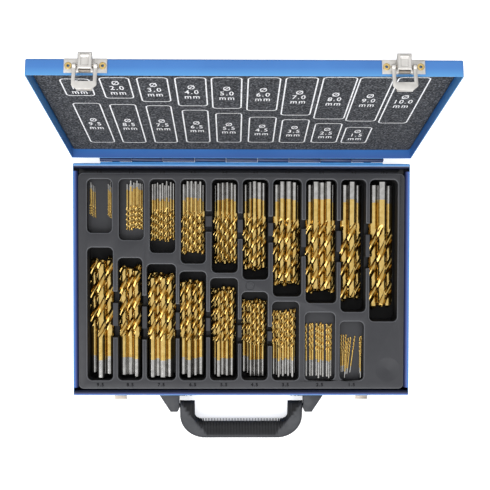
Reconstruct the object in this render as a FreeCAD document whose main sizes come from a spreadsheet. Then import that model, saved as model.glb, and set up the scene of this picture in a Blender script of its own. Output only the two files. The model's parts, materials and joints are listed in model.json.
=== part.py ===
import FreeCAD, Part
import Sketcher
import math
import os
import re
from FreeCAD import Placement, Rotation, Vector

# A flat sheet-steel case for twist drills. The base holds a formed tray with one pocket for each
# drill size, the lid swings on a piano hinge along the back, two draw latches hold it shut, and a
# plastic handle swings on brackets at the front.
# Millimetres, +Z up, hinge towards +Y, handle towards -Y. The origin is the centre of the base's
# underside. The case stands open: everything on the lid is drawn shut, from the hinge pin's line,
# and is then turned back with one placement.

doc = FreeCAD.newDocument("drill_case")

# ---------------------------------------------------------------- driving sizes
# One row for each pocket, left to right: drill size, drill length, pocket width, free length
# beyond the drill, partition to the next pocket, and the length of that partition's finger notch.
BACK_ROW = [
    ("1_0", 34, 26.0, 22.6, 7.6, 0),
    ("2_0", 49, 26.0, 15.2, 6.6, 0),
    ("3_0", 61, 26.8, 16.8, 6.0, 0),
    ("4_0", 75, 26.2, 14.0, 6.6, 21.6),
    ("5_0", 86, 27.5, 12.8, 5.3, 27.0),
    ("6_0", 93, 27.2, 13.0, 5.0, 27.5),
    ("7_0", 109, 30.1, 15.0, 4.8, 38.5),
    ("8_0", 117, 32.6, 14.0, 4.6, 44.0),
    ("9_0", 125, 26.5, 15.4, 4.1, 47.4),
    ("10_0", 133, 29.5, 17.5, 4.0, 0),
]
FRONT_ROW = [
    ("9_5", 125, 27.0, 16.1, 5.2, 48.6),
    ("8_5", 117, 25.9, 13.1, 4.7, 46.6),
    ("7_5", 109, 30.8, 14.6, 3.9, 36.5),
    ("6_5", 101, 28.4, 14.8, 4.2, 27.0),
    ("5_5", 93, 29.4, 15.8, 4.0, 25.6),
    ("4_5", 80, 27.8, 14.1, 4.8, 20.4),
    ("3_5", 70, 28.4, 13.8, 6.5, 0),
    ("2_5", 57, 31.8, 15.3, 5.4, 0),
    ("1_5", 40, 25.4, 22.6, 4.0, 0),
]
POCKETS = BACK_ROW + FRONT_ROW
SHALLOW = ("1_0", "1_5", "2_0", "2_5")
MIDDLE = ("3_0", "3_5", "4_0")
FIVE_ONLY = ("8_5", "9_0", "9_5", "10_0")

SIZES = {
    "case_width": 356, "case_depth": 246, "base_height": 35, "lid_height": 14.6,
    "sheet_gauge": 0.8, "corner_radius": 1.4, "rim_gap": 0.3,
    "hem_flat": 3.2, "hem_slope": 2.1, "hem_corner_gap": 3,
    "hinge_offset": 4, "open_angle": 102.6, "hinge_length": 298.4, "knuckles": 9,
    "knuckle_radius": 2.5, "hinge_pin_radius": 1.1, "running_gap": 0.06, "knuckle_gap": 0.4,
    "leaf_height": 12, "leaf_gauge": 0.8, "stop_gap": 0.1, "stop_length": 8, "stop_width": 1.6,
    "pin_end": 0.6,
    "foam_thickness": 5, "foam_side_gap": 0.8,
    "tray_side_gap": 4, "tray_back_gap": 9.2, "tray_front_gap": 5.6, "tray_top": 32,
    "tray_gauge": 1, "tray_corner": 6, "pocket_corner": 5,
    "shallow_depth": 8.5, "middle_depth": 17, "deep_depth": 27.5,
    "back_pocket_margin": 6.8, "front_pocket_margin": 9.3, "left_pocket_margin": 9.8,
    "right_pocket_margin": 7.6,
    "notch_depth": 16, "pillar_share": 0.5, "pillar_drop": 1.2, "front_notch_shift": 5,
    "pile_gap": 0.04, "end_gap": 1.2, "corner_gap": 0.3, "greatest_slip": 10,
    "latch_inset": 49.2, "plate_width": 35, "plate_low": 2, "plate_high": 14.3,
    "plate_gauge": 1, "eyelet_spacing": 27.8, "eyelet_height": 8, "eyelet_radius": 1.7,
    "eyelet_flange": 3, "eyelet_rim": 0.6, "eyelet_bore": 1.1,
    "lever_width": 11.6, "lever_low": 3.8, "lever_high": 17.6, "lever_stand": 6.2,
    "lever_gauge": 0.8, "ear_gauge": 0.8, "ear_gap": 0.2, "ear_radius": 2.1,
    "lever_pin_height": 2.9, "lever_pin_stand": 3.4, "lever_pin_radius": 0.9,
    "lever_hub_radius": 1.9, "bar_height": 1.4, "bar_rise": 0.5,
    "loop_pin_height": 7.2, "loop_pin_stand": 3.7, "loop_pin_radius": 0.9,
    "loop_inner": 14.2, "loop_arm": 3.1, "loop_gauge": 1.2, "loop_eye_radius": 2.3,
    "loop_low": -7.2, "claw_low": -13.6, "claw_stand": 6.6, "claw_lip": 3.4,
    "claw_lip_rise": 2.2,
    "catch_width": 12.9, "catch_height": 9, "catch_lip_drop": 9.4, "catch_reach": 5.6,
    "catch_gauge": 1, "catch_curl": 1.9, "catch_rivet_radius": 1.2, "catch_rivet_head": 2.1,
    "catch_rivet_rise": 0.6, "catch_rivet_spacing": 7,
    "handle_span": 132, "handle_arm": 16, "handle_reach": 38, "handle_thick": 12,
    "grip_depth": 21, "handle_corner": 27, "handle_inner_corner": 6, "grip_edge_radius": 3.5,
    "pivot_stand": 14, "pivot_height": 17, "handle_pin_radius": 2.4, "handle_pin_depth": 9,
    "bracket_wall_width": 20.2, "bracket_end_width": 7.5, "bracket_inset": 1.6,
    "bracket_height": 19, "bracket_end_height": 12, "bracket_reach": 20, "bracket_gap": 0.8,
    "flange_width": 27, "flange_gauge": 2, "bracket_rivet_radius": 2, "bracket_rivet_head": 3.6,
    "bracket_rivet_rise": 1.4, "bracket_rivet_spacing": 12, "rivet_clearance": 0.02,
}
for size, length, width, room, partition, notch in POCKETS:
    SIZES["drill_length_" + size] = length
    SIZES["pocket_width_" + size] = width
    SIZES["pocket_room_" + size] = room
    SIZES["partition_" + size] = partition
    if notch:
        SIZES["notch_length_" + size] = notch

sheet = doc.addObject("Spreadsheet::Sheet", "Sizes")
for line_number, (alias, number) in enumerate(SIZES.items(), start=1):
    sheet.set(f"A{line_number}", alias)
    sheet.set(f"B{line_number}", str(number))
    sheet.setAlias(f"B{line_number}", alias)
doc.recompute()
size_of = {alias: float(sheet.get(alias)) for alias in SIZES}


def bound(text):
    """An expression in which every size's name points at its cell of the sheet."""
    return re.sub(r"[a-z][a-z_0-9]*", lambda word: (
        "Sizes." + word.group() if word.group() in SIZES else word.group()), text)


# ---------------------------------------------------------------- places worked out from the sizes
HALF_WIDTH = "(case_width / 2)"
HALF_DEPTH = "(case_depth / 2)"
INNER_X = "(case_width / 2 - sheet_gauge)"
INNER_Y = "(case_depth / 2 - sheet_gauge)"
HEM = "(hem_flat + hem_slope)"
LATCH_X = "(case_width / 2 - latch_inset)"
PIN_Y = size_of["case_depth"] / 2 + size_of["hinge_offset"]
PIN_Z = size_of["base_height"]
# Lid pieces are drawn shut with the pin's line as their origin: these are the lid's outer faces.
LID_BACK = "(-hinge_offset)"
LID_FRONT = "(-hinge_offset - case_depth)"
LID_TOP = "(lid_height)"
TRAY_LEFT = "(-case_width / 2 + sheet_gauge + tray_side_gap)"
TRAY_RIGHT = "(case_width / 2 - sheet_gauge - tray_side_gap)"
TRAY_FRONT = "(-case_depth / 2 + sheet_gauge + tray_front_gap)"
TRAY_BACK = "(case_depth / 2 - sheet_gauge - tray_back_gap)"

AT_HOME = Placement()
LID_OPEN = Placement(Vector(0, PIN_Y, PIN_Z), Rotation(Vector(1, 0, 0), -size_of["open_angle"]))


# ---------------------------------------------------------------- helpers
def evaluate(text):
    """The number that an expression of the sizes gives now."""
    return float(sheet.evalExpression(bound(text)))


def new_body(label, placement=AT_HOME):
    body = doc.addObject("PartDesign::Body", label)
    body.Label = label
    body.Placement = placement
    return body


def new_sketch(body, role, offset="0"):
    """A sketch on one of the body's own origin planes, moved along its normal by an expression."""
    sketch = body.newObject("Sketcher::SketchObject", "sketch")
    plane = [item for item in body.Origin.OriginFeatures if item.Role == role][0]
    sketch.AttachmentSupport = [(plane, "")]
    sketch.MapMode = "FlatFace"
    sketch.setExpression(".AttachmentOffset.Base.z", bound(offset))
    return sketch


def draw_polygon(sketch, corners):
    """A closed outline through corners whose coordinates are expressions of the sizes."""
    spots = [Vector(evaluate(x), evaluate(y), 0) for x, y in corners]
    first = sketch.GeometryCount
    sketch.addGeometry([Part.LineSegment(spot, following)
                        for spot, following in zip(spots, spots[1:] + spots[:1])], False)
    joined, measured, texts = [], [], []
    for index, (x, y) in enumerate(corners):
        before = first + (index - 1) % len(corners)
        here = first + index
        joined.append(Sketcher.Constraint("Coincident", before, 2, here, 1))
        measured += [Sketcher.Constraint("DistanceX", -1, 1, here, 1, spots[index].x),
                     Sketcher.Constraint("DistanceY", -1, 1, here, 1, spots[index].y)]
        texts += [x, y]
    sketch.addConstraint(joined)
    for number, text in zip(sketch.addConstraint(measured), texts):
        sketch.setExpression(f"Constraints[{number}]", bound(text))


def draw_rectangle(sketch, left, right, low, high):
    draw_polygon(sketch, [(left, low), (right, low), (right, high), (left, high)])


def draw_circle(sketch, x, y, radius):
    centre = Vector(evaluate(x), evaluate(y), 0)
    index = sketch.addGeometry(Part.Circle(centre, Vector(0, 0, 1), evaluate(radius)), False)
    for kind, text, value in (("DistanceX", x, centre.x), ("DistanceY", y, centre.y)):
        number = sketch.addConstraint(Sketcher.Constraint(kind, -1, 1, index, 3, value))
        sketch.setExpression(f"Constraints[{number}]", bound(text))
    number = sketch.addConstraint(Sketcher.Constraint("Radius", index, evaluate(radius)))
    sketch.setExpression(f"Constraints[{number}]", bound(radius))


def draw(sketch, shapes):
    """Four expressions are a rectangle, three are a circle, and a list is a polygon."""
    for shape in shapes:
        if isinstance(shape, list):
            draw_polygon(sketch, shape)
        elif len(shape) == 4:
            draw_rectangle(sketch, *shape)
        else:
            draw_circle(sketch, *shape)


def pad(body, role, offset, length, shapes):
    """Material from offset to offset + length along the plane's normal."""
    sketch = new_sketch(body, role, offset)
    draw(sketch, shapes)
    feature = body.newObject("PartDesign::Pad", "pad")
    feature.Profile = sketch
    feature.setExpression("Length", bound(length))
    doc.recompute()
    return feature


def cut(body, role, offset, length, shapes):
    """The same space taken away. The volume has to fall, or the cut missed the solid."""
    before = body.Shape.Volume
    sketch = new_sketch(body, role, offset)
    draw(sketch, shapes)
    feature = body.newObject("PartDesign::Pocket", "pocket")
    feature.Profile = sketch
    feature.Reversed = True
    feature.setExpression("Length", bound(length))
    doc.recompute()
    if body.Shape.Volume >= before:
        raise RuntimeError(f"a cut in {body.Label} removes nothing")
    return feature


def edges_where(shape, wanted):
    return [f"Edge{number}" for number, edge in enumerate(shape.Edges, start=1) if wanted(edge)]


def is_upright(edge):
    """A straight edge along Z."""
    ends = [vertex.Point for vertex in edge.Vertexes]
    return (len(ends) == 2 and math.hypot(ends[0].x - ends[1].x, ends[0].y - ends[1].y) < 1e-6
            and abs(ends[0].z - ends[1].z) > 1e-6)


def round_edges(body, radius, wanted):
    """A fillet on every edge of the body's last shape, in its own frame, that the test accepts."""
    rounded = body.Tip
    names = edges_where(rounded.Shape, wanted)
    feature = body.newObject("PartDesign::Fillet", "fillet")
    feature.Base = (rounded, names)
    feature.setExpression("Radius", bound(radius))
    doc.recompute()
    return feature


def stands_at(edge, spots):
    """Whether an edge's middle is at one of the (x, y) spots."""
    middle = edge.BoundBox.Center
    return any(math.hypot(middle.x - x, middle.y - y) < 1e-3 for x, y in spots)


# ---------------------------------------------------------------- base shell
def hem_outline(wall, across):
    """The rim's turned-in hem: a flat strip, then a short slope down. across is +1 or -1."""
    return [(f"{across} * ({wall} - sheet_gauge)", "base_height"),
            (f"{across} * ({wall} - hem_flat)", "base_height"),
            (f"{across} * ({wall} - {HEM})", "base_height - hem_slope"),
            (f"{across} * ({wall} - {HEM})", "base_height - hem_slope - sheet_gauge"),
            (f"{across} * ({wall} - hem_flat)", "base_height - sheet_gauge"),
            (f"{across} * ({wall} - sheet_gauge)", "base_height - sheet_gauge")]


def catch_rivet_spots():
    return [(f"{side} * {LATCH_X} + {offset} * catch_rivet_spacing / 2",
             "base_height - catch_lip_drop + catch_rivet_head + catch_gauge / 2")
            for side in (-1, 1) for offset in (-1, 1)]


def bracket_rivet_spots():
    """One rivet through the flange's tongue, one under the bracket's arm, on each side."""
    outer = "(handle_span / 2 + bracket_gap + bracket_wall_width)"
    return [(f"{side} * ({outer} - {inset})", "pivot_height")
            for side in (-1, 1)
            for inset in ("flange_width - bracket_rivet_head", "bracket_rivet_spacing * 2 / 3")]


def make_base_shell():
    body = new_body("base_shell")
    whole = (f"-{HALF_WIDTH}", HALF_WIDTH, f"-{HALF_DEPTH}", HALF_DEPTH)
    inside = (f"-{INNER_X}", INNER_X, f"-{INNER_Y}", INNER_Y)
    pad(body, "XY_Plane", "0", "base_height", [whole, inside])
    corners = [(x * size_of["case_width"] / 2, y * size_of["case_depth"] / 2)
               for x in (-1, 1) for y in (-1, 1)]
    round_edges(body, "corner_radius", lambda edge: is_upright(edge) and stands_at(edge, corners))
    pad(body, "XY_Plane", "0", "sheet_gauge", [inside])
    pad(body, "YZ_Plane", f"-{INNER_X}", f"2 * {INNER_X}",
        [hem_outline(HALF_DEPTH, 1), hem_outline(HALF_DEPTH, -1)])
    side_hem = f"({HALF_DEPTH} - {HEM} - hem_corner_gap)"
    pad(body, "XZ_Plane", f"-{side_hem}", f"2 * {side_hem}",
        [hem_outline(HALF_WIDTH, 1), hem_outline(HALF_WIDTH, -1)])
    cut(body, "XZ_Plane", INNER_Y, "sheet_gauge",
        [(x, z, "catch_rivet_radius + rivet_clearance") for x, z in catch_rivet_spots()]
        + [(x, z, "bracket_rivet_radius + rivet_clearance") for x, z in bracket_rivet_spots()])
    return body


# ---------------------------------------------------------------- lid shell and foam
def eyelet_spots():
    return [(f"{side} * {LATCH_X} + {offset} * eyelet_spacing / 2", "eyelet_height")
            for side in (-1, 1) for offset in (-1, 1)]


def make_lid_shell():
    body = new_body("lid_shell", LID_OPEN)
    whole = (f"-{HALF_WIDTH}", HALF_WIDTH, LID_FRONT, LID_BACK)
    inside = (f"-{INNER_X}", INNER_X, f"{LID_FRONT} + sheet_gauge", f"{LID_BACK} - sheet_gauge")
    pad(body, "XY_Plane", "rim_gap", "lid_height - rim_gap", [whole, inside])
    corners = [(x * size_of["case_width"] / 2, evaluate(y)) for x in (-1, 1)
               for y in (LID_FRONT, LID_BACK)]
    round_edges(body, "corner_radius", lambda edge: is_upright(edge) and stands_at(edge, corners))
    pad(body, "XY_Plane", "lid_height - sheet_gauge", "sheet_gauge", [inside])
    cut(body, "XZ_Plane", "case_depth + hinge_offset - sheet_gauge", "sheet_gauge",
        [(x, z, "eyelet_radius + rivet_clearance") for x, z in eyelet_spots()])
    return body


def make_foam_pad():
    """A sheet of foam glued under the lid's panel. It stops short of the eyelets' inner ends."""
    body = new_body("lid_foam_pad", LID_OPEN)
    room = "(sheet_gauge + foam_side_gap)"
    pad(body, "XY_Plane", "lid_height - sheet_gauge - foam_thickness", "foam_thickness",
        [(f"-{HALF_WIDTH} + {room}", f"{HALF_WIDTH} - {room}",
          f"{LID_FRONT} + {room}", f"{LID_BACK} - {room}")])
    return body


# ---------------------------------------------------------------- hinge
KNUCKLE_STEP = "(hinge_length / knuckles)"


def knuckle_gaps(first):
    """Cut-outs for the other leaf's knuckles: every second stretch, starting at first."""
    shapes = []
    for index in range(first, int(size_of["knuckles"]), 2):
        low = f"-hinge_length / 2 + {index} * {KNUCKLE_STEP} - knuckle_gap / 2"
        high = f"-hinge_length / 2 + {index + 1} * {KNUCKLE_STEP} + knuckle_gap / 2"
        shapes.append((low, high, "-hinge_offset + leaf_gauge", "knuckle_radius * 2"))
    return shapes


def make_hinge_leaf(label, placement, up, first_gap):
    """A flat leaf on the wall, a web across to the pin, and the barrel, cut into knuckles."""
    body = new_body(label, placement)
    outline = [("-hinge_offset", f"{up} * leaf_height"),
               ("-hinge_offset + leaf_gauge", f"{up} * leaf_height"),
               ("-hinge_offset + leaf_gauge", f"{up} * knuckle_radius"),
               ("0", f"{up} * knuckle_radius"),
               ("0", f"{up} * (knuckle_radius - leaf_gauge)"),
               ("-hinge_offset", f"{up} * (knuckle_radius - leaf_gauge)")]
    pad(body, "YZ_Plane", "-hinge_length / 2", "hinge_length", [outline])
    pad(body, "YZ_Plane", "-hinge_length / 2", "hinge_length", [("0", "0", "knuckle_radius")])
    cut(body, "YZ_Plane", "-hinge_length / 2", "hinge_length",
        [("0", "0", "hinge_pin_radius + running_gap")])
    cut(body, "XY_Plane", "-2 * knuckle_radius", "4 * knuckle_radius", knuckle_gaps(first_gap))
    return body


def turned_shut(y, z):
    """Where a point of the open lid lies when the lid is drawn shut: a turn by the opening angle."""
    angle = "open_angle * 1 deg"
    return (f"({y}) * cos({angle}) - ({z}) * sin({angle})",
            f"({y}) * sin({angle}) + ({z}) * cos({angle})")


def add_stop_lugs(body):
    """Two lugs on the lid's end knuckles meet the base's leaf and hold the lid leaning back."""
    contact = "(hinge_offset - leaf_gauge - stop_gap)"
    lug = [turned_shut("-knuckle_radius * 0.8", "-knuckle_radius * 0.4"),
           turned_shut(f"-{contact}", "-knuckle_radius * 0.8"),
           turned_shut(f"-{contact}", "-knuckle_radius * 0.8 - stop_width / 2"),
           turned_shut("-knuckle_radius * 0.5", "-knuckle_radius * 0.8")]
    for side in (-1, 1):
        middle = f"{side} * (hinge_length - {KNUCKLE_STEP}) / 2"
        pad(body, "YZ_Plane", f"{middle} - stop_length / 2", "stop_length", [lug])


def make_hinge():
    at_pin = Placement(Vector(0, PIN_Y, PIN_Z), Rotation())
    base_leaf = make_hinge_leaf("hinge_leaf_base", at_pin, -1, 0)
    lid_leaf = make_hinge_leaf("hinge_leaf_lid", LID_OPEN, 1, 1)
    add_stop_lugs(lid_leaf)
    pin = new_body("hinge_pin", at_pin)
    pad(pin, "YZ_Plane", "-hinge_length / 2 - pin_end", "hinge_length + 2 * pin_end",
        [("0", "0", "hinge_pin_radius")])
    return [base_leaf, lid_leaf, pin]


# ---------------------------------------------------------------- latches
# The latches are drawn on the shut lid. height is above the rim, stand is out from the wall.
WALL_STAND = "(case_depth + hinge_offset)"


def side_point(stand, height):
    """A point of a side view: the lid's front looks towards -Y."""
    return (f"{LID_FRONT} - ({stand})", height)


LEVER_PIN = side_point("lever_pin_stand", "lever_pin_height")
LOOP_PIN = side_point("loop_pin_stand", "loop_pin_height")
EAR_OUTER = "(lever_width / 2 + ear_gap + ear_gauge)"


def make_latch_plate(label, middle):
    body = new_body(label, LID_OPEN)
    pad(body, "XZ_Plane", WALL_STAND, "plate_gauge",
        [(f"{middle} - plate_width / 2", f"{middle} + plate_width / 2", "plate_low", "plate_high")])
    for start in (f"{middle} - {EAR_OUTER}", f"{middle} + {EAR_OUTER} - ear_gauge"):
        pad(body, "YZ_Plane", start, "ear_gauge",
            [[side_point("plate_gauge", "lever_pin_height + ear_radius"),
              side_point("plate_gauge", "plate_low"),
              side_point("lever_pin_stand", "lever_pin_height - ear_radius"),
              side_point("lever_pin_stand", "lever_pin_height + ear_radius")]])
        pad(body, "YZ_Plane", start, "ear_gauge", [LEVER_PIN + ("ear_radius",)])
    cut(body, "YZ_Plane", f"{middle} - {EAR_OUTER}", f"2 * {EAR_OUTER}",
        [LEVER_PIN + ("lever_pin_radius + rivet_clearance",)])
    cut(body, "XZ_Plane", WALL_STAND, "plate_gauge",
        [(f"{middle} + {side} * eyelet_spacing / 2", "eyelet_height",
          "eyelet_radius + rivet_clearance") for side in (-1, 1)])
    return body


def make_latch_lever(label, middle):
    """A pressed cover with two side flanges, turning on the pin in the plate's ears."""
    body = new_body(label, LID_OPEN)
    half = "lever_width / 2"
    pad(body, "XZ_Plane", f"{WALL_STAND} + lever_stand - lever_gauge", "lever_gauge",
        [(f"{middle} - {half}", f"{middle} + {half}", "lever_low", "lever_high")])
    flange = [side_point("lever_pin_stand - lever_hub_radius", "lever_pin_height"),
              side_point("lever_pin_stand - lever_hub_radius", "plate_high"),
              side_point("lever_stand - lever_gauge", "lever_high"),
              side_point("lever_stand - lever_gauge", "lever_low"),
              side_point("lever_pin_stand + lever_hub_radius", "lever_pin_height")]
    for start in (f"{middle} - {half}", f"{middle} + {half} - lever_gauge"):
        pad(body, "YZ_Plane", start, "lever_gauge", [flange])
        pad(body, "YZ_Plane", start, "lever_gauge", [LEVER_PIN + ("lever_hub_radius",)])
    pad(body, "XZ_Plane", f"{WALL_STAND} + lever_stand", "bar_rise",
        [(f"{middle} - {half} + 2 * lever_gauge", f"{middle} + {half} - 2 * lever_gauge",
          "lever_high - 2 * bar_height", "lever_high - bar_height")])
    cut(body, "YZ_Plane", f"{middle} - {half}", "lever_width",
        [LEVER_PIN + ("lever_pin_radius + running_gap",),
         LOOP_PIN + ("loop_pin_radius + rivet_clearance",)])
    return body


def make_latch_loop(label, middle):
    """Two arms slope out from their eyes to a claw, whose lip hooks up behind the catch."""
    body = new_body(label, LID_OPEN)
    outer = "(loop_inner / 2 + loop_arm)"
    arm = [side_point("loop_pin_stand - loop_gauge / 2", "loop_pin_height"),
           side_point("loop_pin_stand + loop_gauge / 2", "loop_pin_height"),
           side_point("claw_stand + loop_gauge / 2", "loop_low"),
           side_point("claw_stand - loop_gauge / 2", "loop_low")]
    pad(body, "XZ_Plane", f"{WALL_STAND} + claw_stand - loop_gauge / 2", "loop_gauge",
        [[(f"{middle} - {outer}", "loop_low"), (f"{middle} + {outer}", "loop_low"),
          (f"{middle} + {outer}", "(loop_low + claw_low) / 2"),
          (f"{middle} + catch_width / 2", "claw_low"), (f"{middle} - catch_width / 2", "claw_low"),
          (f"{middle} - {outer}", "(loop_low + claw_low) / 2")]])
    for start in (f"{middle} - {outer}", f"{middle} + loop_inner / 2"):
        pad(body, "YZ_Plane", start, "loop_arm", [arm])
        pad(body, "YZ_Plane", start, "loop_arm", [LOOP_PIN + ("loop_eye_radius",)])
    lip = [side_point("claw_stand - loop_gauge / 2", "claw_low"),
           side_point("claw_stand - loop_gauge / 2", "claw_low + catch_gauge"),
           side_point("claw_stand - claw_lip", "claw_low + catch_gauge"),
           side_point("claw_stand - claw_lip", "claw_low + claw_lip_rise"),
           side_point("claw_stand - claw_lip - catch_gauge", "claw_low + claw_lip_rise"),
           side_point("claw_stand - claw_lip - catch_gauge", "claw_low")]
    pad(body, "YZ_Plane", f"{middle} - catch_width / 2", "catch_width", [lip])
    cut(body, "YZ_Plane", f"{middle} - {outer}", f"2 * {outer}",
        [LOOP_PIN + ("loop_pin_radius + running_gap",)])
    return body


def make_pin(label, placement, centre, start, length, radius):
    body = new_body(label, placement)
    pad(body, "YZ_Plane", start, length, [centre + (radius,)])
    return body


def make_latches():
    pieces = []
    for side, name in ((-1, "left"), (1, "right")):
        middle = f"({side} * {LATCH_X})"
        pieces += [
            make_latch_plate("latch_plate_" + name, middle),
            make_latch_lever("latch_lever_" + name, middle),
            make_latch_loop("latch_loop_" + name, middle),
            make_pin("lever_pin_" + name, LID_OPEN, LEVER_PIN, f"{middle} - {EAR_OUTER}",
                     f"2 * {EAR_OUTER}", "lever_pin_radius"),
            make_pin("loop_pin_" + name, LID_OPEN, LOOP_PIN,
                     f"{middle} - loop_inner / 2 - loop_arm", "loop_inner + 2 * loop_arm",
                     "loop_pin_radius"),
        ]
    return pieces


def make_latch_eyelets():
    """Four hollow brass eyelets clamp the latch plates to the lid's front wall."""
    body = new_body("latch_eyelets", LID_OPEN)
    spots = eyelet_spots()
    wall_inside = f"{WALL_STAND} - sheet_gauge"
    bores = [(x, z, "eyelet_bore") for x, z in spots]
    pad(body, "XZ_Plane", wall_inside, "sheet_gauge + plate_gauge",
        [(x, z, "eyelet_radius") for x, z in spots] + bores)
    for start in (f"{WALL_STAND} + plate_gauge", f"{wall_inside} - eyelet_rim"):
        pad(body, "XZ_Plane", start, "eyelet_rim",
            [(x, z, "eyelet_flange") for x, z in spots] + bores)
    return body


def make_catch(label, middle):
    """A bracket on the base's front wall, with a lip that turns down at its outer edge."""
    body = new_body(label)
    lip_top = "(base_height - catch_lip_drop)"
    outline = [side_wall("0", f"{lip_top} + 2 * catch_rivet_head + catch_gauge"),
               side_wall("0", "base_height + claw_low"),
               side_wall("catch_gauge", "base_height + claw_low"),
               side_wall("catch_gauge", f"{lip_top} - catch_gauge"),
               side_wall("catch_reach - catch_gauge", f"{lip_top} - catch_gauge"),
               side_wall("catch_reach - catch_gauge", f"{lip_top} - catch_gauge - catch_curl"),
               side_wall("catch_reach", f"{lip_top} - catch_gauge - catch_curl"),
               side_wall("catch_reach", lip_top),
               side_wall("catch_gauge", lip_top),
               side_wall("catch_gauge", f"{lip_top} + 2 * catch_rivet_head + catch_gauge")]
    pad(body, "YZ_Plane", f"{middle} - catch_width / 2", "catch_width", [outline])
    cut(body, "XZ_Plane", HALF_DEPTH, "catch_gauge",
        [(f"{middle} + {offset} * catch_rivet_spacing / 2", catch_rivet_spots()[0][1],
          "catch_rivet_radius + rivet_clearance") for offset in (-1, 1)])
    return body


def side_wall(stand, height):
    """A point of a side view of the base's front wall: stand is out from the wall."""
    return (f"-{HALF_DEPTH} - ({stand})", height)


def make_catch_rivets():
    body = new_body("catch_rivets")
    spots = catch_rivet_spots()
    pad(body, "XZ_Plane", INNER_Y, "sheet_gauge + catch_gauge",
        [(x, z, "catch_rivet_radius") for x, z in spots])
    for start in (f"{HALF_DEPTH} + catch_gauge", f"{INNER_Y} - catch_rivet_rise"):
        pad(body, "XZ_Plane", start, "catch_rivet_rise",
            [(x, z, "catch_rivet_head") for x, z in spots])
    return body


# ---------------------------------------------------------------- handle
PIVOT_Y = f"(-{HALF_DEPTH} - pivot_stand)"
BRACKET_INNER = "(handle_span / 2 + bracket_gap)"


def make_bracket(label, side):
    """A flange on the wall and a wedge-shaped arm that carries the handle's pin."""
    body = new_body(label)
    inner, outer = f"{side} * {BRACKET_INNER}", f"{side} * ({BRACKET_INNER} + bracket_wall_width)"
    tongue = f"{side} * ({BRACKET_INNER} + bracket_wall_width - flange_width)"
    low, high = "pivot_height - bracket_height / 2", "pivot_height + bracket_height / 2"
    pad(body, "XZ_Plane", HALF_DEPTH, "flange_gauge", [(tongue, outer, low, high)])
    root, end = f"-{HALF_DEPTH} - flange_gauge", f"-{HALF_DEPTH} - bracket_reach"
    pad(body, "XY_Plane", low, "bracket_height",
        [[(inner, root), (outer, root),
          (f"{side} * ({BRACKET_INNER} + bracket_inset + bracket_end_width)", end),
          (f"{side} * ({BRACKET_INNER} + bracket_inset)", end),
          (inner, f"{end} + 2 * bracket_inset")]])
    past = f"{end} - bracket_end_width"
    for up in (-1, 1):
        cut(body, "YZ_Plane", f"-{HALF_WIDTH}", "case_width",
            [[(root, f"pivot_height + {up} * bracket_height / 2"),
              (end, f"pivot_height + {up} * bracket_end_height / 2"),
              (past, f"pivot_height + {up} * bracket_end_height / 2"),
              (past, f"pivot_height + {up} * bracket_height")]])
    cut(body, "YZ_Plane", f"-{HALF_WIDTH}", "case_width",
        [(PIVOT_Y, "pivot_height", "handle_pin_radius + rivet_clearance")])
    cut(body, "XZ_Plane", HALF_DEPTH, "flange_gauge + bracket_rivet_rise",
        [(x, z, "bracket_rivet_radius + rivet_clearance") for x, z in bracket_rivet_spots()])
    return body


def make_bracket_rivets():
    body = new_body("bracket_rivets")
    spots = bracket_rivet_spots()
    pad(body, "XZ_Plane", INNER_Y, "sheet_gauge + flange_gauge",
        [(x, z, "bracket_rivet_radius") for x, z in spots])
    pad(body, "XZ_Plane", f"{INNER_Y} - bracket_rivet_rise", "bracket_rivet_rise",
        [(x, z, "bracket_rivet_head") for x, z in spots])
    pad(body, "XZ_Plane", f"{HALF_DEPTH} + flange_gauge", "bracket_rivet_rise",
        [(spots[0][0], spots[0][1], "bracket_rivet_head"),
         (spots[2][0], spots[2][1], "bracket_rivet_head")])
    return body


def handle_droop():
    """The angle below level at which the grip's rounded edge comes down to the table."""
    edge = size_of["grip_edge_radius"]
    out = size_of["handle_reach"] - edge
    down = size_of["handle_thick"] / 2 - edge
    fall = size_of["pivot_height"] - edge
    return math.degrees(math.asin(fall / math.hypot(out, down)) - math.atan2(down, out))


def make_handle():
    """A U-shaped moulding, drawn level with its pivot line at the origin."""
    pivot = Vector(0, evaluate(PIVOT_Y), size_of["pivot_height"])
    body = new_body("handle_grip", Placement(pivot, Rotation(Vector(1, 0, 0), handle_droop())))
    half = "(handle_span / 2)"
    inner = f"({half} - handle_arm)"
    back = "handle_thick / 2"
    pad(body, "XY_Plane", "-handle_thick / 2", "handle_thick",
        [[(f"-{half}", back), (f"-{half}", "-handle_reach"), (half, "-handle_reach"),
          (half, back), (inner, back), (inner, "-handle_reach + grip_depth"),
          (f"-{inner}", "-handle_reach + grip_depth"), (f"-{inner}", back)]])
    span, reach = size_of["handle_span"] / 2, size_of["handle_reach"]
    outside = [(-span, -reach), (span, -reach)]
    inside = [(side * (span - size_of["handle_arm"]), -reach + size_of["grip_depth"])
              for side in (-1, 1)]
    round_edges(body, "handle_corner",
                lambda edge: is_upright(edge) and stands_at(edge, outside))
    round_edges(body, "handle_inner_corner",
                lambda edge: is_upright(edge) and stands_at(edge, inside))
    half_thick = size_of["handle_thick"] / 2
    round_edges(body, "handle_thick / 2 - running_gap", lambda edge: (
        abs(edge.BoundBox.YMin - half_thick) < 1e-6 and abs(edge.BoundBox.YMax - half_thick) < 1e-6
        and edge.BoundBox.XLength > 1))
    round_edges(body, "grip_edge_radius", lambda edge: (
        edge.BoundBox.ZLength < 1e-6 and abs(abs(edge.BoundBox.ZMin) - half_thick) < 1e-6
        and edge.BoundBox.YMin < half_thick - 1e-3))
    for start in (f"-{half}", f"{half} - handle_pin_depth - running_gap"):
        cut(body, "YZ_Plane", start, "handle_pin_depth + running_gap",
            [("0", "0", "handle_pin_radius + running_gap")])
    return body


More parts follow.
